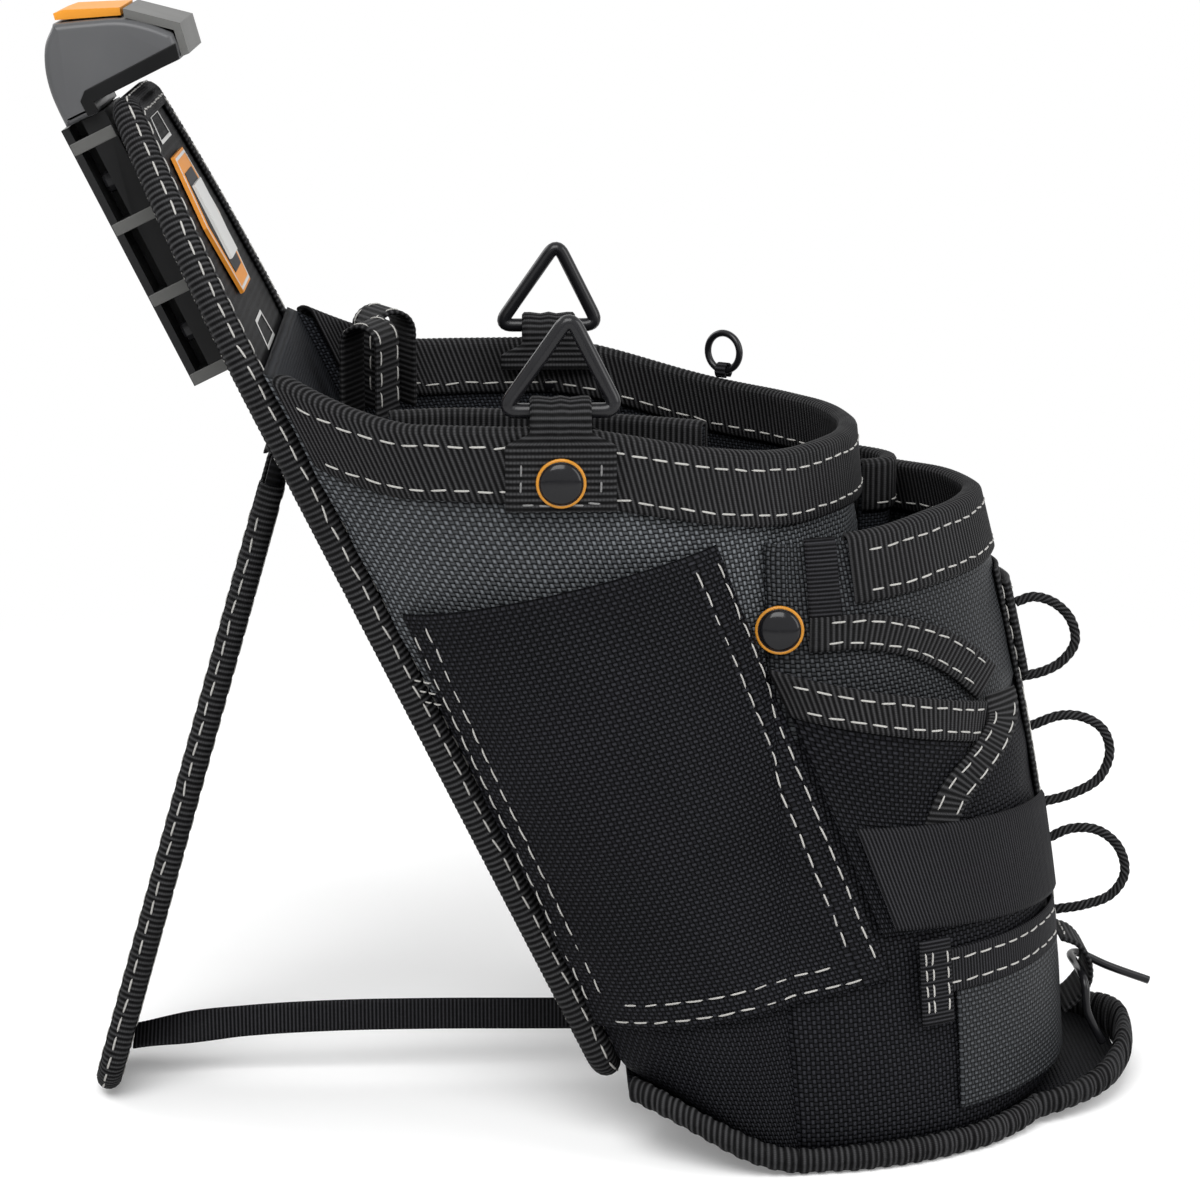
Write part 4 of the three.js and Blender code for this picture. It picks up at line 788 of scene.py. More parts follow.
# The floor fills the crescent between the two pockets.
reach = np.linspace(-0.9, 0.9, 80)
rear = main_point(reach * 1.2, FOOT_Z + FLOOR_ROUND, -0.5)
front = front_point(reach * 1.35, FOOT_Z + FLOOR_ROUND, WALL + 1)
blend = np.linspace(0, 1, 12)[None, :, None]
points = rear[:, None] * (1 - blend) + front[:, None] * blend
points[..., 2] = base_height(points[..., 0]) + BASE_THICK + GAP + WALL / 2
slab("front_pocket_floor", Surface(points), WALL * 0.8, LINING, replaced=["front_pocket_shell"])


# ------------------------------------------------------------------ rim tapes
def rim_tape(name, outline, rim, turn, drop, node, inner_drop):
    """Ribbed webbing folded over a rim, with two rows of stitches outside and one inside."""
    outside, inside = GAP + WEB / 2, -WALL - GAP - WEB / 2
    middle, bend = (outside + inside) / 2, (outside - inside) / 2
    over = [(middle + bend * math.cos(a), 0.15 + bend * 0.62 * math.sin(a))
            for a in np.linspace(0, math.pi, 9)]
    profile = [(outside, -drop + 0.3), (outside, -drop + 1.2)]
    profile += [(outside, r) for r in np.linspace(-drop + 4, -1.5, 6)] + over
    profile += [(inside, r) for r in np.linspace(-1.5, -inner_drop + 1.5, 6)] + [(inside, -inner_drop + 0.3)]
    out, rise = np.array(profile).T
    coarse = np.linspace(-turn, turn, 900)
    lengths = run_lengths(outline(coarse, RIM - 8, -GAP))
    turns = np.interp(np.arange(0, lengths[-1], STEP), lengths, coarse)
    edge = pocket_point(outline, rim, turns[:, None], 1.0, 0.0, rise[None, :])
    points = outline(turns[:, None], edge[..., 2], -out[None, :])
    points[..., 2] += 0.35 * waves(points, 45, 4)
    surface = Surface(points)
    surface.face(surface.normals[10, 3] @ (points[10, 3] - points[10, -3]))
    slab(name, surface, WEB, WEBBING, replaced=[node], rib=0.34)
    stitch_rows(name, surface, (3.6, drop - 3.4, -3.6))
    sew(name, f"{name}_stitches")


rim_tape("main_rim_webbing", main_point, rim_height, MAIN_TURN - 0.035, 21, "main_rim_tape", 17)
rim_tape("front_rim_webbing", front_point, front_rim_height, math.radians(70), 20, "front_rim_tape", 16)


# ------------------------------------------------------------------ sewn pockets and straps of each side
SLEEVE = ((-3, 43), (89, 60), (32, 201), (-63, 179))
SIDE_POCKET = ((86, 74), (107, 74), (121, 141), (50, 161))
BULGE = 7.0


def crown(s, t, start):
    """How far a sewn-on pocket bulges; it is flat up to the share start of its height."""
    return GAP + BULGE * np.sin(math.pi * s) ** 0.7 * smoothstep(1.3 * (t - start) / (1 - start))


def grid(columns, rows):
    """Shares across and up a panel, finer next to its edges."""
    s = np.concatenate([[0, 0.008], np.linspace(0.03, 0.97, columns), [0.992, 1]])
    t = np.concatenate([[0, 0.006], np.linspace(0.02, 0.98, rows), [0.994, 1]])
    return s[None, :], t[:, None]


def outward(surface, side):
    """Turns the normals to face away from the middle of the pouch."""
    return surface.face(np.mean(surface.normals[..., 1]) * side)


ACROSS = np.array([[0, 0.04, 0.15, 0.35, 0.5, 0.65, 0.85, 0.96, 1.0]])


def strip_along(place, side, shares=ACROSS):
    """A surface along s with stations an even step apart."""
    coarse = np.linspace(0, 1, 200)
    lengths = run_lengths(place(coarse[:, None], np.array([[0.5]]))[:, 0])
    s = np.interp(np.arange(0, lengths[-1], STEP), lengths, coarse)
    return outward(Surface(place(s[:, None], shares)), side)


def tape_on_side(side, corners, steps, depth):
    """Places on a tape along a route on the side; depth(s) is how far off the wall it is."""
    route = side_route(corners, steps)
    heading = unit(np.gradient(route, axis=0))
    shares = np.linspace(0, 1, len(route))

    def place(s, t):
        x, z = np.interp(s, shares, route[:, 0]), np.interp(s, shares, route[:, 2])
        ahead_x, ahead_z = np.interp(s, shares, heading[:, 0]), np.interp(s, shares, heading[:, 2])
        offset = TAPE_WIDTH * (t - 0.5)
        return side_point(side, x - ahead_z * offset, z + ahead_x * offset, depth(s))
    return place


def on_front(side, low, high, start, stop, depth):
    """Places round the front pocket between two heights and two angles in degrees."""
    def place(s, t):
        turn = np.radians(start + (stop - start) * s)
        return front_point(side * turn, low + (high - low) * t, -depth)
    return place


# Places round the front: low and high in mm, start and stop in degrees.
LOWER_PANEL, LOWER_BAND, LOWER_POST = (14, 54, 55, 11), (53, 67, 60, 12), (44, 72, 64, 57)
TAPE_WIDTH = 11
UPPER_TAPE = ((62, 171), (80, 170.5), (98, 165), (112, 156), (122, 146))
LOWER_TAPE = ((123.5, 143), (122.5, 135), (116, 126), (107.5, 117), (104, 106))
LOWER_TAPE_LIFT = 5.5
BAND_SHARE = 15 / (161 - 74)            # the band's share of the side pocket's height
SEAM_LEFT, SEAM_RIGHT, SEAM_LOW, SEAM_HIGH = 62, 72, 176, 200
STRAP_LOW, STRAP_HIGH, SPINE_HALF = 76, 110, 18.5
TACK_HEIGHTS = (149, 152.5, 156)
SEWN_ON = 0.95                          # from the middle of a sewn-on pocket's cloth to its stitches
BAND_THICK, ON_BAND = 1.2, 0.75


def sleeve(side_name, side):
    """A flat tapering pocket with two rows of stitches round three sides, and tacks beside it."""
    s, t = grid(60, 70)
    surface = outward(Surface(patch_place(side, SLEEVE)(s, t, crown(s, t, 0) + CLOTH / 2)), side)
    slab(f"{side_name}_sleeve", surface, CLOTH, DARK_CLOTH, replaced=[f"{side_name}_sleeve_pocket"],
         uneven=0.55, seed=8)
    group = f"{side_name}_sleeve_stitches"
    for inset in (2.8, 9.4):
        for distance in (inset, -inset):
            points, normals = surface.line(distance)
            keep = np.linspace(0, 1, len(points)) > (inset / 150)
            stitch(group, points[keep], normals[keep], SEWN_ON)
        row = int(np.argmin(np.abs(surface.along - inset)))
        cells = (surface.across > inset) & (surface.across < surface.across[-1] - inset)
        stitch(group, surface.points[row][cells], surface.normals[row][cells], SEWN_ON)

    # Short rows of tacks where the wall meets the board.
    for height in TACK_HEIGHTS:
        reach = np.linspace(-60.5, -52.5, 14) + (153.5 - height) * 0.46
        points = side_point(side, reach, height, 0.35)
        stitch(group, points, side_point(side, reach, height, 1.35) - points, 0.1, pitch=3.8, length=3,
               trim=(0, 0))
    sew(group, group)


def side_pocket(side_name, side):
    """The side pocket with its band, the curved tape and the upright webbing over the seam."""
    place = patch_place(side, SIDE_POCKET)
    s, t = grid(34, 40)
    surface = outward(Surface(place(s, t, crown(s, t, 0.43) + CLOTH / 2)), side)
    slab(f"{side_name}_pocket", surface, CLOTH, DARK_CLOTH, replaced=[f"{side_name}_side_pocket"],
         uneven=0.3, seed=18)

    def band_place(s, t):
        depth = GAP + BULGE * np.sin(math.pi * s) ** 0.7 + CLOTH + GAP + WEB / 2
        return place(s, 1 - BAND_SHARE * (1 - t), depth)

    def lower_depth(s):
        return GAP + WEB / 2 + LOWER_TAPE_LIFT * np.sin(math.pi * (0.18 + 0.82 * s)) ** 0.8

    def seam_place(s, t):
        z = SEAM_LOW + (SEAM_HIGH - SEAM_LOW) * s
        x = SEAM_LEFT + (SEAM_RIGHT - SEAM_LEFT) * t - 0.08 * (z - SEAM_LOW)
        return side_point(side, x, z, GAP + WEB / 2)

    group = f"{side_name}_band_stitches"
    surface = strip_along(band_place, side)
    webbing(f"{side_name}_band", surface, f"{side_name}_side_band")
    stitch_rows(group, surface, (3.0, -3.0))
    surface = strip_along(tape_on_side(side, UPPER_TAPE, 60, lambda s: GAP + FIT + WEB / 2), side)
    webbing(f"{side_name}_curved_webbing", surface, f"{side_name}_curved_tape")
    stitch_rows(group, surface, (2.4, -2.4))
    # The tape turns back behind its end and runs down under the wide strap.
    surface = strip_along(tape_on_side(side, LOWER_TAPE, 40, lower_depth), side)
    webbing(f"{side_name}_lower_webbing", surface)
    stitch_rows(group, surface, (2.4, -2.4))
    sew(group, group)
    slab(f"{side_name}_seam_webbing", strip_along(seam_place, side), WEB, FINE_WEB, rib=0.2, pitch=1.5)


def front_bands(side_name, side):
    """The wide strap round the front pocket, and below it a panel, a band over its top edge and a post."""
    def strap_place(s, t):
        z = STRAP_LOW + (STRAP_HIGH - STRAP_LOW) * t - 6 * s
        start_x = 89 - (z - 77) * 0.38
        start = np.arccos((start_x - FRONT_CENTRE) / (front_point(0.0, z)[..., 0] - FRONT_CENTRE))
        end = np.arcsin(SPINE_HALF / front_point(math.pi / 2, z)[..., 1])
        return front_point(side * (start * (1 - s) + end * s), z, -(GAP + CLOTH + GAP + WEB / 2))

    slab(f"{side_name}_wide_strap", strip_along(strap_place, side), WEB, FINE_WEB,
         replaced=[f"{side_name}_tape_strap"], rib=0.18, pitch=FINE_PITCH)
    s, t = grid(40, 24)
    surface = outward(Surface(on_front(side, *LOWER_PANEL, GAP + CLOTH / 2)(s, t)), side)
    slab(f"{side_name}_lower_cloth", surface, CLOTH, SHADE_CLOTH, replaced=[f"{side_name}_lower_panel"],
         uneven=0.25, seed=28)
    group = f"{side_name}_lower_stitches"
    surface = strip_along(on_front(side, *LOWER_BAND, GAP + CLOTH), side)
    slab(f"{side_name}_lower_band", surface, BAND_THICK, FINE_WEB, rib=0.14, pitch=FINE_PITCH)
    stitch_rows(group, surface, (3.2, -3.2), ON_BAND)
    post = on_front(side, *LOWER_POST, GAP + 3.0)
    surface = strip_along(lambda s, t: post(t, s), side, np.array([[0, 0.06, 0.3, 0.7, 0.94, 1.0]]))
    slab(f"{side_name}_lower_post", surface, BAND_THICK, FINE_WEB, rib=0.14, pitch=FINE_PITCH)
    for distance in (2.0, 4.2, -2.0):
        stitch_rows(group, surface, (distance,), ON_BAND, pitch=5.2, length=4.2, seed=int(10 * distance) + 40)
    sew(group, group)


for side_name, side in SIDES:
    sleeve(side_name, side)
    side_pocket(side_name, side)
    front_bands(side_name, side)


# ------------------------------------------------------------------ spine, patch, hook loop
def spine_surface(half, low, high, depth):
    """An upright strip down the front of the front pocket."""
    z = np.arange(low, high, STEP)[:, None]
    turn = np.arcsin(half * (2 * ACROSS - 1) / front_point(math.pi / 2, z)[..., 1])
    surface = Surface(front_point(turn, z, -depth))
    return surface.face(surface.normals[..., 0].mean())


def ribbon(line, aside, width):
    """A strip of an even width along a line."""
    return Surface(line[:, None] + aside * (width * (ACROSS[0] - 0.5))[None, :, None])


def cross_stitches(group, surface, shares, lift=ON_WEB, **settings):
    """Rows of stitches across a piece, at shares of its length."""
    for share in shares:
        stitch(group, *surface.cross_line(share), lift, **settings)


surface = spine_surface(16, 50, 178, GAP + WEB / 2)
webbing("spine_webbing", surface, "front_spine")
stitch_rows("spine", surface, (2.6, -2.6, 13.4, -13.4))
cross_stitches("spine", surface, (0.2, 0.4, 0.58, 0.76), pitch=5.5, length=4.4)
sew("spine", "spine_stitches")
surface = spine_surface(14, 141, 173, 2 * GAP + WEB + 1.2)
slab("spine_patch_webbing", surface, 2.4, WEBBING, replaced=["spine_patch"], rib=WEB_RIB)
cross_stitches("patch", surface, (0.12, 0.88), 1.3, pitch=5, length=4)
sew("patch", "patch_stitches")

HOOK_LOOP = [[155, 49], [161, 46.5], [165, 41], [165.5, 33.5], [161.5, 27], [156.8, 23]]
surface = ribbon(spaced(side_route(HOOK_LOOP, 60), STEP), np.array([0, 1, 0]), 22)
surface.face(surface.normals[..., 0].mean())
webbing("hook_loop_webbing", surface, "hook_loop")
cross_stitches("hook_loop", surface, (0.06, 0.94), pitch=5, length=4)
sew("hook_loop", "hook_loop_stitches")


# ------------------------------------------------------------------ inside the pockets
def divider(name, route, top, node):
    """An upright cloth panel with ribbed webbing folded over its top edge."""
    plan = spaced(smooth_route([[x, y, 0] for x, y in route], 80), STEP)[1:-1]
    side = unit(np.cross(unit(np.gradient(plan, axis=0)), [0, 0, 1]))
    heights = np.concatenate([[top - 39.5, top - 39], np.linspace(top - 36, top - 2, 12),
                              [top - 0.6, top - 0.2]])
    slab(name, Surface(plan[:, None] + UP * heights[None, :, None]), 2.0, LINING, replaced=[node])
    reach = 1 + FIT + WEB / 2
    drops = np.array([-15.7, -14.5, -11, -7, -3, -1, 0])
    over = np.linspace(0, math.pi, 7)
    out = np.concatenate([np.full(7, reach), reach * np.cos(over)[1:-1], np.full(7, -reach)])
    rise = np.concatenate([drops, 0.9 * np.sin(over)[1:-1], drops[::-1]])
    surface = Surface(plan[:, None] + side[:, None] * out[None, :, None] + UP * (top + rise)[None, :, None])
    surface.face(surface.normals[10, 3] @ side[10])
    webbing(f"{name}_webbing", surface, f"{node}_tape")
    group = f"{name}_stitches"
    stitch_rows(group, surface, (3.0, -3.0))
    sew(group, group)


divider("inner_panel", [[-68, -50], [-48, -46], [-24, -50], [6, -60], [30, -71.6]], 236, "inner_divider")
divider("front_panel", [[86.8, 16], [95.4, 20], [97.9, 30], [90.4, 41], [79.4, 47]], 207, "front_divider")


def tool_loop(name, base, heading, span):
    """A loop of ribbed webbing standing on its two ends."""
    reach = (span - WEB) / 2
    crest = LOOP_HEIGHT - span / 2
    arch = [(-reach, z) for z in np.linspace(0.3, crest, 12)]
    arch += [(reach * math.sin(a), crest + reach * math.cos(a))
             for a in np.linspace(-math.pi / 2, math.pi / 2, 16)[1:-1]]
    arch += [(reach, z) for z in np.linspace(crest, 0.3, 12)]
    line = spaced(np.array([[x, 0, z] for x, z in arch]), STEP)
    turn = math.radians(heading)
    ahead = np.array([math.cos(turn), math.sin(turn), 0])
    aside = np.array([-math.sin(turn), math.cos(turn), 0])
    surface = ribbon(np.array(base) + ahead * line[:, :1] + UP * line[:, 2:], aside, LOOP_WIDTH)
    surface.face(-(surface.normals[2, 4] @ ahead))
    webbing(name, surface, f"inner_{name}")
    stitch_rows(name, surface, (2.6, -2.6))
    sew(name, f"{name}_stitches")


LOOP_HEIGHT, LOOP_WIDTH = 34, 20
tool_loop("tool_loop_1", [-72, 63, 220], 25, 16)
tool_loop("tool_loop_2", [-76, 30, 220], -20, 14)


# ------------------------------------------------------------------ bottom
NOSE, NOSE_CENTRE, NOSE_HALF = 174, 128, 52
BASE_BACK = board_x(FOOT_Z + 4, BOARD_FACE) + 1


def base_x(tau):
    return NOSE - (NOSE - BASE_BACK) * (1 - np.cos(np.asarray(tau) * math.pi / 2))


def base_half(x):
    share = np.clip((x - NOSE_CENTRE) / (NOSE - NOSE_CENTRE), 0, 1)
    lip = np.where(x > NOSE_CENTRE, NOSE_HALF * np.sqrt(1 - share ** 2), 0)
    return np.maximum(half_width(x, base_height(x) + BASE_THICK + FLOOR_ROUND), lip)


TUCK = 1.8                # how far the bottom's cloth goes into the rolled edge
EDGE_OUT, EDGE_HALF = 4.2, 3.05         # the roll's middle outside the base, and half its width
EDGE_BACK_TALL, EDGE_NOSE_TALL = 9, 17
EDGE_STEPS, EDGE_SIDES, EDGE_PITCH = 1500, 20, 5.2


def bottom_cloth():
    s, t = grid(90, 50)
    x = base_x(1 + (0.03 - 1) * s)
    shape = (t.shape[0], s.shape[1])
    surface = Surface(np.stack([np.broadcast_to(x + TUCK * s, shape), (2 * t - 1) * (base_half(x) + TUCK),
                                np.broadcast_to(base_height(x) + BASE_THICK / 2, shape)], -1))
    slab("bottom_cloth", surface, BASE_THICK, DARK_CLOTH, replaced=["bottom_panel"])


def bottom_edge():
    """A ribbed roll along the edge of the bottom, taller at the nose, open at the board."""
    tau = np.linspace(-0.985, 0.985, EDGE_STEPS)
    x = base_x(np.abs(tau))
    edge = np.stack([x, np.sign(tau) * base_half(x), base_height(x)], -1)
    ahead = unit(np.gradient(edge, axis=0) * [1, 1, 0])
    out = np.stack([ahead[:, 1], -ahead[:, 0], np.zeros(len(ahead))], -1)
    share = smoothstep(np.abs(tau) / 0.3)
    tall = (EDGE_NOSE_TALL + (EDGE_BACK_TALL - EDGE_NOSE_TALL) * share)[:, None] / 2
    lengths = run_lengths(edge)[:, None]
    angles = circle(EDGE_SIDES)[None]
    roll = 0.3 * np.clip(np.cos(2 * math.pi * lengths / EDGE_PITCH) * 2.5, -1, 1) - 0.1
    roll = roll + 0.35 * waves(edge, 22, 6)[:, None]
    points = (edge[:, None] + out[:, None] * (EDGE_OUT + (EDGE_HALF + roll) * np.cos(angles))[..., None]
              + UP * (tall + (tall - 0.35 + 0.6 * roll) * np.sin(angles))[..., None])
    tips = edge[[0, -1]] + out[[0, -1]] * EDGE_OUT + [0, 0, EDGE_BACK_TALL / 2]
    uv = np.stack(np.broadcast_arrays(lengths, angles * 4), -1).reshape(-1, 2)
    j = np.arange(EDGE_SIDES)
    first, last = (np.stack([row * EDGE_SIDES + j, row * EDGE_SIDES + (j + 1) % EDGE_SIDES,
                             np.full(EDGE_SIDES, EDGE_STEPS * EDGE_SIDES + (row > 0))], -1)
                   for row in (0, EDGE_STEPS - 1))
    obj = make_mesh("bottom_edge_roll", np.concatenate([points.reshape(-1, 3), tips]),
                    grid_quads(EDGE_STEPS, EDGE_SIDES, around=True), [WEBBING],
                    np.concatenate([uv, np.zeros((2, 2))]), triangles=np.concatenate([first[:, ::-1], last]))
    settle(obj, POUCH, ["bottom_edge"])


bottom_cloth()
bottom_edge()


# ------------------------------------------------------------------ ring tabs, rings and rivets
TAB_X, RIVET_Z, WIRE = -15, 223, 4.7
TAB_OUT = MAIN_HALF + GAP + WEB + GAP
TAB_IN = float(main_point(math.pi / 2, RIM)[1]) - WALL - 2 * GAP - WEB - 4.5
TAB_MIDDLE, TAB_RADIUS = (TAB_OUT + TAB_IN) / 2, (TAB_OUT - TAB_IN) / 2
TAB_TOP = float(rim_height(np.array(TAB_X))) + GAP + WEB + 2
RING_SEAT = TAB_TOP + TAB_RADIUS - WIRE / 2 - FIT


def ring_path(side):
    """A triangle of wire with rounded corners, standing in its tab."""
    corners = [(-17.5, 0), (17.5, 0), (3, 29)]
    points = [np.array([TAB_X + x, side * TAB_MIDDLE, RING_SEAT + z]) for x, z in corners]
    route = []
    for i in range(3):
        here, after, beyond = points[i], points[(i + 1) % 3], points[(i + 2) % 3]
        one, two = 5 / np.linalg.norm(after - here), 5 / np.linalg.norm(beyond - after)
        for w in np.linspace(one, 1 - one, 14):
            route.append(here + (after - here) * w)
        first, last = after + (here - after) * one, after + (beyond - after) * two
        for w in np.linspace(0, 1, 9)[1:-1]:
            route.append(first * (1 - w) ** 2 + 2 * after * w * (1 - w) + last * w ** 2)
    return np.array(route)


RIVET_SIDES = 36


def rivet(name, base, axis, inside, outside, node):
    """A domed cap on a coloured ring, with its shank through the layers."""
    head = 7.5
    quarter = np.linspace(0, math.pi / 2, 10)
    radius = [0.01, 2, 2, head, head + 0.15, head, head - 0.75, head - 0.85]
    height = [inside, inside] + [outside + rise for rise in (0, 0, 0.4, 0.85, 1.0, 0.7)]
    radius += [(head - 1.1) * math.cos(a) for a in quarter]
    height += [outside + 1.1 + 1.9 * math.sin(a) for a in quarter]
    aside = unit(np.cross(axis, [0.3, 0.1, 1.0]))
    other = np.cross(axis, aside)
    turn = circle(RIVET_SIDES)
    ring = aside[None] * np.cos(turn)[:, None] + other[None] * np.sin(turn)[:, None]
    points = (np.array(base) + np.array(axis)[None, None] * np.array(height)[:, None, None]
              + ring[None] * np.array(radius)[:, None, None]).reshape(-1, 3)
    quads = grid_quads(len(radius), RIVET_SIDES, around=True)
    row = quads[:, 0] // RIVET_SIDES
    kinds = np.where((row >= 2) & (row < 6), 1, 0)
    obj = make_mesh(name, points, quads, [RIVET_MAT, RIVET_RING], None, kinds)
    return settle(obj, POUCH, [node])


TAB_WIDE, TAB_NARROW, TAB_OUTER, TAB_INNER = 33.6, 18.6, 26.7, 11.7
SIDE_RIVET = (53, 173)


def ring_tab(side_name, side):
    """Webbing folded over the rim, narrow where it holds its ring."""
    bend = np.linspace(0, math.pi, 40)[1:-1]
    reach = TAB_RADIUS + WEB / 2
    out = np.concatenate([np.full(60, reach), reach * np.cos(bend), np.full(26, -reach)])
    up = np.concatenate([np.linspace(TAB_TOP - TAB_OUTER, TAB_TOP, 60), TAB_TOP + reach * np.sin(bend),
                         np.linspace(TAB_TOP, TAB_TOP - TAB_INNER, 26)])
    narrow = smoothstep((up - (TAB_TOP - 7)) / 5)
    width = TAB_WIDE + (TAB_NARROW - TAB_WIDE) * narrow
    centre = np.stack([np.full(len(out), TAB_X), side * (TAB_MIDDLE + out), up], -1)
    points = centre[:, None] + np.array([1, 0, 0]) * (width[:, None] * (ACROSS - 0.5))[..., None]
    pucker = narrow[:, None] * 0.35 * np.sin(ACROSS * 5 * math.pi)
    surface = Surface(points)
    surface.face(surface.normals[5, 4, 1] * side)
    surface.points = points + surface.normals * pucker[..., None]
    webbing(f"{side_name}_tab_webbing", surface, f"{side_name}_ring_tab")
    group = f"{side_name}_tab_stitches"
    for distance in (2.6, -2.6):
        points, normals = surface.line(distance)
        stitch(group, points[:46], normals[:46], ON_WEB, pitch=5, length=4)
    cross_stitches(group, surface, (0.04,), pitch=5, length=4)
    sew(group, group, DARK_THREAD)


for side_name, side in SIDES:
    ring_tab(side_name, side)
    sweep_tube(f"{side_name}_ring_wire", ring_path(side), WIRE / 2, WIRE_MAT, 18, body=f"{side_name}_ring",
               replaced=[f"{side_name}_triangle_ring"], closed=True)
    rivet(f"{side_name}_tab_cap", [TAB_X, side * MAIN_HALF, RIVET_Z], np.array([0, side, 0.0]),
          -WALL - 2 * GAP - WEB, TAB_OUT - MAIN_HALF + WEB + FIT, f"{side_name}_tab_rivet")
    base = side_point(side, *SIDE_RIVET, 0)
    rivet(f"{side_name}_side_cap", base, unit(side_point(side, *SIDE_RIVET, 1) - base), -WALL - 7,
          GAP + WEB + 2 * FIT, f"{side_name}_side_rivet")

# The small wire ring in its narrow tab on the far rim.
SMALL_RADIUS, SMALL_WIRE, SMALL_TAB, SMALL_X = 6.5, 2.4, 4.2, 46


def small_ring():
    middle_x = float(main_point(math.pi / 2, RIM)[0])
    turn = math.acos((SMALL_X - middle_x) / (MAIN_NOSE - middle_x))
    base = main_point(turn, RIM, WALL / 2)
    base[2] = rim_height(base[0]) + GAP + WEB + 2 * FIT
    ahead = unit((main_point(turn + 0.02, RIM) - main_point(turn - 0.02, RIM)) * [1, 1, 0])
    half = SMALL_WIRE / 2 + 2 * FIT + 1
    angle = circle(56)[:, None]
    line = base + np.array([0, 0, half + SMALL_RADIUS]) + SMALL_RADIUS * (
        ahead * np.cos(angle) + UP * np.sin(angle))
    sweep_tube("small_ring_wire", line, SMALL_WIRE / 2, WIRE_MAT, 14, body="wire_ring",
               replaced=["small_ring"], closed=True)
    bend = np.linspace(-0.35 * math.pi, 1.35 * math.pi, 60)[:, None]
    loop = base + np.array([0, 0, half]) + (half - 0.4) * (
        np.cross(ahead, [0, 0, 1]) * np.cos(bend) + UP * np.sin(bend))
    surface = ribbon(loop, ahead, SMALL_TAB)
    surface.face(surface.normals[30, 4, 2])
    slab("small_tab_webbing", surface, 0.8, FINE_WEB, replaced=["small_ring_tab"])


small_ring()

# The tape hook.
HOOK_X, HOOK_Z = 162.7, 36
hook = [[169.5, -15, 13.5], [164, -15, 25], [HOOK_X + 0.5, -15, HOOK_Z - 3], [HOOK_X, -12, HOOK_Z],
        [HOOK_X, 0, HOOK_Z], [HOOK_X, 12, HOOK_Z], [HOOK_X + 3, 15, HOOK_Z - 0.7], [176, 15, 30.5],
        [190.5, 15, 25]]
sweep_tube("tape_hook_wire", spaced(smooth_route(hook, 160), 0.6), 1.4, WIRE_MAT, 14, body="hook",
           replaced=["tape_hook"])


# ------------------------------------------------------------------ board and stand
def arc(centre, radius, start, stop, steps=14):
    turn = np.radians(np.linspace(start, stop, steps))
    return [[centre[0] + radius * math.cos(a), centre[1] + radius * math.sin(a)] for a in turn]


def bezier(a, b, c, d, steps=40):
    a, b, c, d = map(np.array, (a, b, c, d))
    return [list(a * (1 - w) ** 3 + 3 * b * w * (1 - w) ** 2 + 3 * c * w ** 2 * (1 - w) + d * w ** 3)
            for w in np.linspace(0, 1, steps)]


def board_outline():
    """The board's edge as (y, t): straight sides that curve in to a narrow top."""
    half, top, corner = BOARD_HALF, BOARD_LENGTH, 12
    right = [[half, 252]] + bezier([half, 252], [half - 2, 282], [half - 14, top - 30], [40, top - 6])
    right += bezier([40, top - 6], [38, top - 2], [35, top], [30, top], 8)
    left = [[-x, t] for x, t in right[::-1]]
    return np.array([[0, 0]] + arc([half - corner, corner], corner, -90, 0) + right + left
                    + arc([-half + corner, corner], corner, 180, 270) + [[0, 0]], float)


def binding(name, outline, place, half_thick, width, node, body, rows, closed=True):
    """Webbing folded over the edge of a flat panel, with a row of stitches on each face."""
    line = spaced(outline, STEP)
    if closed:
        line = np.concatenate([line, line[1:6]])
    ahead = unit(np.gradient(line, axis=0))
    inward = np.stack([-ahead[:, 1], ahead[:, 0]], -1)
    edge = half_thick - WEB / 2
    over = np.linspace(-math.pi / 2, math.pi / 2, 9)
    face = np.array([width - 0.3, width - 1.2, width * 0.6, width * 0.35])
    inset = np.concatenate([face, edge + WEB / 2 - edge * np.cos(over), face[::-1]])
    depth = np.concatenate([np.full(4, edge), -edge * np.sin(over), np.full(4, -edge)])
    flat = line[:, None] + inward[:, None] * inset[None, :, None]
    surface = Surface(place(flat[..., 1], np.broadcast_to(depth[None], flat.shape[:2]), flat[..., 0]))
    surface.face(surface.normals[40, 8] @ (surface.points[40, 8] - surface.points[40, 0]))
    slab(name, surface, WEB, WEBBING, body=body, replaced=[node], rib=0.42)
    stitch_rows(name, surface, rows, WEB / 2 + 0.15, trim=(8, 8))
    sew(name, f"{name}_stitches", body=body)


def flat_panel(name, outline, place, thick, inset, material, node, body, low, high, seed=2):
    """A stiff cloth panel inside an outline, row by row up it."""
    levels = np.concatenate([[low, low + 0.4], np.linspace(low + 1.5, high - 1.5, 130), [high - 0.4, high]])
    half_line = outline[outline[:, 0] >= 0]
    order = np.argsort(half_line[:, 1])
    half = np.interp(levels, half_line[order, 1], half_line[order, 0]) - inset
    s = np.concatenate([[-1, -0.985], np.linspace(-0.95, 0.95, 50), [0.985, 1]])
    surface = Surface(place(levels[:, None], 0.0, half[:, None] * s[None, :]))
    surface.face(surface.normals[..., 0].mean())
    slab(name, surface, thick, material, body=body, replaced=[node], uneven=0.25,
         seed=seed)


outline = board_outline()
binding("board_binding_webbing", outline, on_board, 4.5, 10, "back_board_binding", POUCH, (3.2, -3.2, 11.4))
flat_panel("board_panel", outline, on_board, 5.6, 1.6, BOARD_CLOTH, "back_board", POUCH, 1.6,
           BOARD_LENGTH - 1.6)


def dress(node, material, width):
    """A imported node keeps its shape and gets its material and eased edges."""
    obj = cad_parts[node]
    obj.data.materials.clear()
    obj.data.materials.append(material)
    ease = obj.modifiers.new("eased_edges", "BEVEL")
    ease.width = width * MM
    ease.segments = 2
    ease.limit_method = "ANGLE"
    ease.angle_limit = math.radians(28)
    ease.harden_normals = True


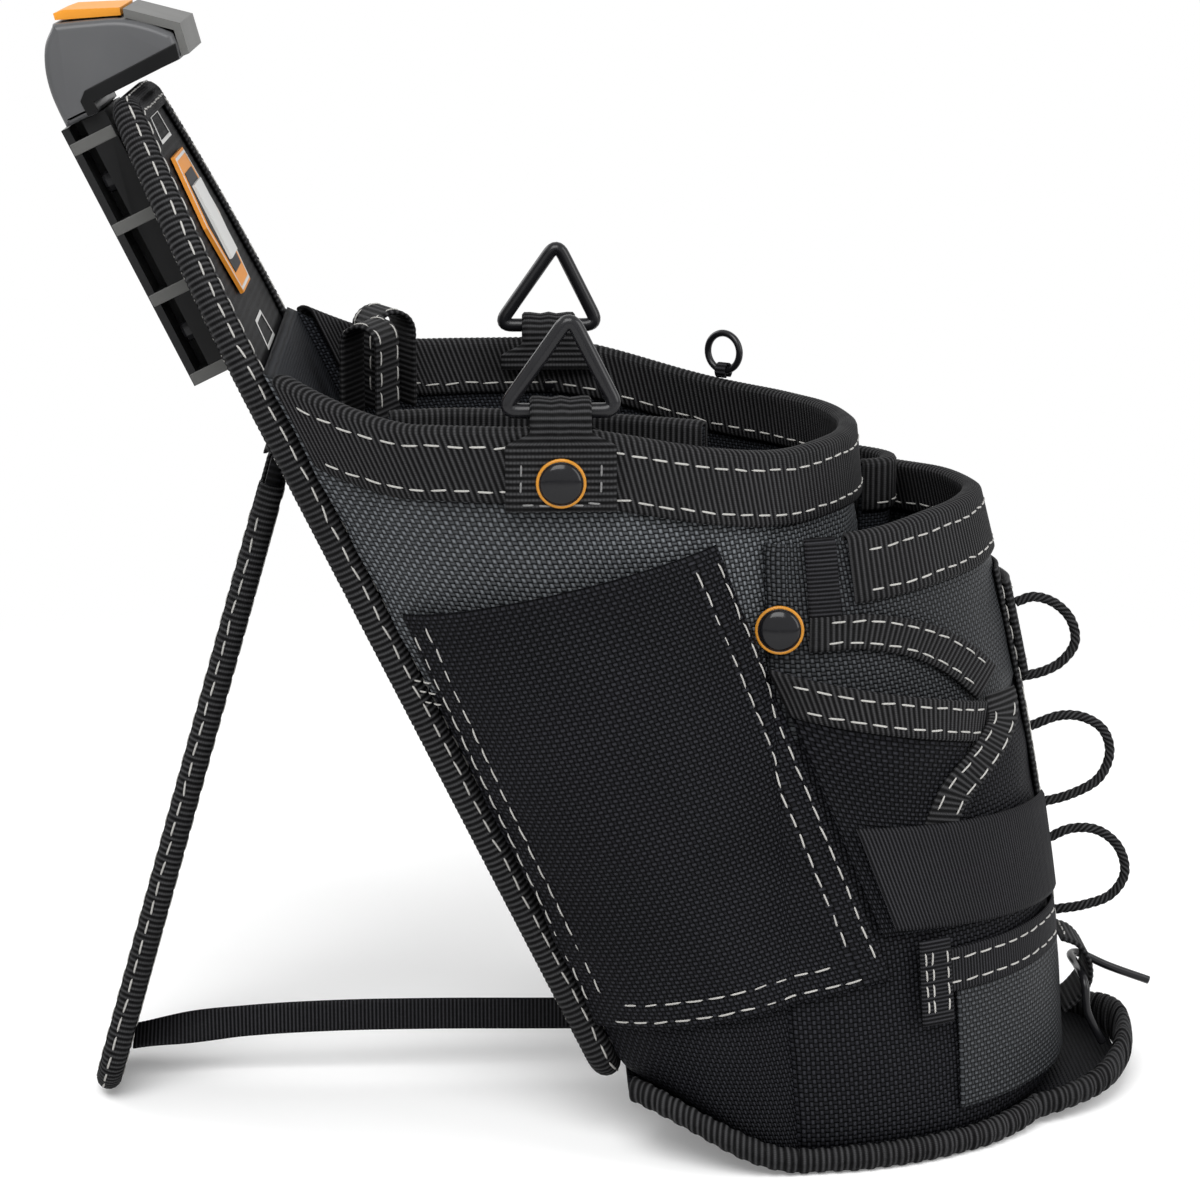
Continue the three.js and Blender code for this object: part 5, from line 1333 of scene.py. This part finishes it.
# The generic label: an orange frame, a dark field and a blank light plate, with outline marks.
dress("label_patch", LABEL_MAT, 0.3)
dress("label_plate", LABEL_LIGHT, 0.3)


def print_mark(name, corners, s, material, hole=None, thick=0.22):
    """A thin raised print on the board's face: a closed outline, or a frame round a hole."""
    corners = np.array(corners, float)
    count = len(corners)
    rings = [corners] if hole is None else [corners, np.array(hole, float)]
    points = np.concatenate([on_board(ring[:, 1], depth, ring[:, 0])
                             for depth in (s, s + thick) for ring in rings])
    layer = count * len(rings)
    j = np.arange(count)
    n = (j + 1) % count
    quads = [np.stack([j, n, n + layer, j + layer], -1)]
    if hole is None:
        centre = points[layer:].mean(0)
        points = np.concatenate([points, [centre]])
        faces = np.stack([j + layer, n + layer, np.full(count, len(points) - 1)], -1)
    else:
        quads.append(np.stack([j + layer, n + layer, n + layer + count, j + layer + count], -1))
        quads.append(np.stack([n + count, j + count, j + count + layer, n + count + layer], -1))
        faces = None
    obj = make_mesh(name, points, np.concatenate(quads), [material], None, triangles=faces, smooth=False)
    return settle(obj, POUCH, ())


def hexagon(half, low, high, nick):
    """Corners with points at both sides."""
    middle = (low + high) / 2
    return [(-half, middle), (-half + nick, low), (half - nick, low), (half, middle), (half - nick, high),
            (-half + nick, high)]


LABEL_FACE, BOARD_PRINT, PRINT_THICK = 4.52, 3.05, 0.16
print_mark("label_field", hexagon(18.5, 280.5, 315.5, 6.6), LABEL_FACE, LABEL_DARK)
print_mark("label_line", hexagon(24.2, 274.8, 321.2, 8.7), LABEL_FACE, LABEL_LIGHT,
           hexagon(23.2, 275.8, 320.2, 8.3), 0.12)
for name, low in (("upper_mark", 327), ("lower_mark", 254)):
    print_mark(name, [(-16, low), (16, low), (12, low + 10), (-12, low + 10)], BOARD_PRINT, LABEL_LIGHT,
               [(-14.3, low + 1.2), (14.3, low + 1.2), (11, low + 8.8), (-11, low + 8.8)], PRINT_THICK)
print_mark("lower_chip", [(-9, 243), (9, 243), (7, 249), (-7, 249)], BOARD_PRINT, LABEL_MAT, None,
           PRINT_THICK)

# ------------------------------------------------------------------ belt hub
for node in ("hub_receiver", "hub_clip_frame", "hub_clip_back"):
    dress(node, CLIP_MAT, 0.7)


def side_plate(name, outline, inner, outer, material):
    """A flat piece on the side of the hub, outlined in (s, t), between two distances from its middle."""
    outline = np.array(outline, float)
    count = len(outline)
    points = np.concatenate([on_board(outline[:, 1], outline[:, 0], depth) for depth in (inner, outer)])
    j = np.arange(count)
    n = (j + 1) % count
    faces = np.stack([j[::-1], j + count])
    walls = np.stack([j, n, n + count, j + count], -1)
    if outer > 0:
        faces, walls = faces[:, ::-1], walls[:, ::-1]
    obj = make_mesh(name, points, walls, [material], None, triangles=faces, smooth=False)
    ease = obj.modifiers.new("eased_edges", "BEVEL")
    ease.width, ease.segments = 0.3 * MM, 2
    return settle(obj, "belt_clip", ())


HUB_RIBS, RIB_HALF, CLIP_HALF, CLIP_DEPTHS = (257, 285, 310, 338), 2, 24.0, (-22.2, -7.4)
for number, t in enumerate(HUB_RIBS, 1):
    for side_name, side in SIDES:
        rib = [[CLIP_DEPTHS[0], t - RIB_HALF], [CLIP_DEPTHS[1], t - RIB_HALF], [CLIP_DEPTHS[1], t + RIB_HALF],
               [CLIP_DEPTHS[0], t + RIB_HALF]]
        side_plate(f"{side_name}_rib_face_{number}", rib, side * (CLIP_HALF - 1), side * (CLIP_HALF + 0.25),
                   TRIM_MAT)

HOOD_HALF, HOOD_ROUND = 28, 2.6
HOOD_LIP = [[22.6, 353.6], [21.5, 348.7], [-8.4, 348.6], [-8.4, 345.4], [-12.2, 345.4], [-12.2, 350.6],
            [-9.4, 353.0]]
# The hood's profile, part by part: corners (s, t) and the number of steps between them.
HOOD_PROFILE = (
    ([[-20, 345.3], [-19.9, 351], [-19.3, 357.5], [-17.4, 364.5], [-14, 370.8], [-9.3, 374.9]], 30),
    ([[-9, 375.4], [2, 371.3], [11, 367.4], [18, 362], [22.9, 356.8]], 30),
    ([[23, 356.2], [22.6, 352], [21.6, 348.7]], 8),
    ([[21.2, 348.5], [8, 348.7], [-8.3, 348.5]], 20),
    ([[-8.5, 348.2], [-8.5, 345.4], [-14, 345.3], [-19.8, 345.3]], 16),
)


def hood_shell():
    """The moulded hood: a curved profile carried across the hub, rounded towards both ends."""
    ring = np.concatenate([smooth_route([[*corner, 0] for corner in corners], steps)
                           for corners, steps in HOOD_PROFILE])[:, :2]
    ring = spaced(np.concatenate([ring, ring[:1]]), 0.9)
    ring = ring[:-1] if np.linalg.norm(ring[-1] - ring[0]) < 0.5 else ring
    ahead = unit(np.roll(ring, -2, 0) - np.roll(ring, 2, 0))
    inward = np.stack([ahead[:, 1], -ahead[:, 0]], -1)
    if np.sum(inward * (ring.mean(0) - ring)) < 0:
        inward *= -1
    turn = np.linspace(0, math.pi / 2, 7)
    ends = HOOD_HALF - HOOD_ROUND * (1 - np.sin(turn))
    shrink = HOOD_ROUND * (1 - np.cos(turn)) * 0.85
    even = HOOD_HALF - HOOD_ROUND - 2
    y = np.concatenate([-ends[::-1], np.linspace(-even, even, 14), ends])
    inset = np.concatenate([shrink[::-1], np.zeros(14), shrink])
    flat = ring[None] + inward[None] * inset[:, None, None]
    rows, columns = flat.shape[:2]
    points = on_board(flat[..., 1], flat[..., 0], y[:, None]).reshape(-1, 3)
    edge = np.arange(columns)
    caps = np.stack([edge[::-1], edge + (rows - 1) * columns])
    obj = make_mesh("hub_hood_cover", points, grid_quads(rows, columns, around=True), [HUB_MAT],
                    triangles=caps)
    settle(obj, "belt_clip", ["hub_hood"])


hood_shell()
for side_name, side in SIDES:
    side_plate(f"{side_name}_hood_lip", HOOD_LIP, side * (HOOD_HALF - 1), side * (HOOD_HALF + 0.35), CLIP_MAT)
dress("hub_hood_insert", ORANGE_MAT, 0.5)
dress("hub_hood_trim", TRIM_MAT, 0.6)
for number in range(1, 5):
    dress(f"hub_screw_{number}", SCREW_MAT, 0.25)

# ------------------------------------------------------------------ stand
HINGE_T = 222
HINGE = on_board(HINGE_T, -9.4, 0.0)
STAND_LEAN = math.radians(16.2)
LEAN_SIN, LEAN_COS = math.sin(STAND_LEAN), math.cos(STAND_LEAN)
STAND_LENGTH = (HINGE[2] - 4 * LEAN_SIN) / LEAN_COS


def on_stand(t, s, y):
    """A place in the open stand's own frame: t up from the hinge, s off its middle and y across."""
    t, s, y = np.broadcast_arrays(np.asarray(t, float), s, y)
    return np.stack([HINGE[0] + t * LEAN_SIN + s * LEAN_COS, y, HINGE[2] + t * LEAN_COS - s * LEAN_SIN], -1)


foot = -STAND_LENGTH
stand_line = np.array([[30, -8], [30, -60], [30, foot + 20]] + arc([10, foot + 20], 20, 0, -90)
                      + arc([-10, foot + 20], 20, -90, -180) + [[-30, -60], [-30, -8]], float)[::-1]
binding("stand_binding_webbing", stand_line, on_stand, 4, 9, "kickstand_binding", "kickstand",
        (2.6, -2.6, -10.6), closed=False)
panel_line = np.array(arc([10, foot + 20], 20, -90, 0) + [[30, -60], [30, 2.5]], float)
flat_panel("stand_panel", panel_line, on_stand, 4.6, 1.7, STAND_CLOTH, "kickstand_panel", "kickstand",
           foot + 1.8, 2.3, seed=12)

RECEIVER_FACE = -3 - FIT
HINGE_HALF = 28
HINGE_TOP = HINGE_T + 2.5 * math.sqrt(2) + FIT


def hinge_surface(start, end):
    """A strip across the stand between two (s, t) places on the board."""
    line = spaced(np.array([start, end]), STEP)
    return Surface(on_board(line[:, 1][:, None], line[:, 0][:, None], HINGE_HALF * (2 * ACROSS - 1)))


surface = hinge_surface([RECEIVER_FACE - WEB / 2, 218.3], [RECEIVER_FACE - WEB / 2, 247.7])
surface.face(-surface.normals[..., 0].mean())
webbing("stand_hinge_webbing", surface, "kickstand_hinge_strap")
cross_stitches("hinge", surface, (0.35, 0.9))
surface = hinge_surface([RECEIVER_FACE - WEB, HINGE_TOP + WEB / 2], [-12.2, HINGE_TOP + WEB / 2])
slab("stand_hinge_fold", surface, WEB, WEBBING)
sew("hinge", "hinge_stitches")

# The limit strap bends between the pouch and the stand; it twists flat towards the stand.
LIMIT_ROUTE = [[-158.2, 14.5], [-146, 16.5], [-120, 19.5], [-90, 21], [-55, 21.3], [-25, 21], [-5.9, 20.8]]
route = spaced(side_route(LIMIT_ROUTE, 100), STEP)
share = np.linspace(0, 1, len(route))
twist = math.radians(60) * smoothstep(1 - share / 0.25)
across = np.stack([np.zeros(len(route)), np.sin(twist), np.cos(twist)], -1)
surface = Surface(route[:, None] + across[:, None] * (TAPE_WIDTH * (ACROSS - 0.5))[..., None])
surface.face(-surface.normals[..., 1].mean())
limit = slab("limit_strap_webbing", surface, WEB, FINE_WEB, body=None, replaced=["limit_strap"], rib=0.22,
             pitch=1.5)
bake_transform(limit)


# ------------------------------------------------------------------ floor, light and world
FLOOR_LIFT = 0.18
FLOOR_FADE = (0.28, 0.75)
FLOOR_HALF = 6.0
WORLD_LIGHT = 0.5


def floor_material():
    """Pale and plain; the camera's own rays see it fade to white away from the object."""
    material, tree, shader = new_material("pale_floor", 0.8, 0.1)
    g = Graph(tree)
    shader.inputs["Base Color"].default_value = (0.86, 0.86, 0.86, 1)
    shader.inputs["Emission Color"].default_value = WHITE
    camera_ray = g.node("ShaderNodeLightPath").outputs["Is Camera Ray"]
    distance = g.node("ShaderNodeVectorMath", operation="LENGTH")
    g.link(g.node("ShaderNodeTexCoord").outputs["Object"], distance.inputs[0])
    fade = g.node("ShaderNodeMapRange", interpolation_type="SMOOTHSTEP")
    fade.inputs["From Min"].default_value, fade.inputs["From Max"].default_value = FLOOR_FADE
    g.link(distance.outputs["Value"], fade.inputs["Value"])
    g.link(g.times(camera_ray, FLOOR_LIFT), shader.inputs["Emission Strength"])
    white = g.node("ShaderNodeEmission")
    white.inputs["Color"].default_value = WHITE
    mix = g.node("ShaderNodeMixShader")
    share = g.times(camera_ray, fade.outputs["Result"])
    for source, target in zip((share, shader.outputs[0], white.outputs[0]), mix.inputs):
        g.link(source, target)
    g.link(mix.outputs[0], tree.nodes["Material Output"].inputs["Surface"])
    return material


def add_floor():
    mesh = bpy.data.meshes.new("floor")
    corners = [(-FLOOR_HALF, -FLOOR_HALF, 0), (FLOOR_HALF, -FLOOR_HALF, 0), (FLOOR_HALF, FLOOR_HALF, 0),
               (-FLOOR_HALF, FLOOR_HALF, 0)]
    mesh.from_pydata(corners, [], [(0, 1, 2, 3)])
    mesh.materials.append(floor_material())
    add_object("floor", mesh)


def add_world():
    """White to camera, glossy and transmission rays, and a softer level as light."""
    world = bpy.data.worlds.new("studio")
    bpy.context.scene.world = world
    world.use_nodes = True
    g = Graph(world.node_tree)
    rays = g.node("ShaderNodeLightPath").outputs
    shown = rays["Is Camera Ray"]
    for kind in ("Is Glossy Ray", "Is Transmission Ray"):
        shown = g.math("MAXIMUM", shown, rays[kind])
    background = world.node_tree.nodes["Background"]
    background.inputs["Color"].default_value = WHITE
    g.link(g.mix(shown, WORLD_LIGHT, 1.0), background.inputs["Strength"])


def lamp(name, place, size, power):
    light = bpy.data.lights.new(name, "AREA")
    light.shape = "RECTANGLE"
    light.size, light.size_y = size
    light.energy = power
    obj = add_object(name, light)
    obj.location = place
    obj.rotation_euler = (LAMP_AIM - Vector(place)).to_track_quat("-Z", "Y").to_euler()


add_floor()
add_world()
LAMP_AIM = Vector((0, 0, 0.16))
lamp("key_lamp", (-0.25, -1.1, 1.45), (1.1, 1.1), 26)
lamp("front_lamp", (1.3, -0.5, 0.8), (0.8, 1.2), 11)
lamp("rear_lamp", (-1.2, 0.9, 1.0), (1.0, 1.0), 9)
bpy.context.scene.view_settings.view_transform = "Standard"
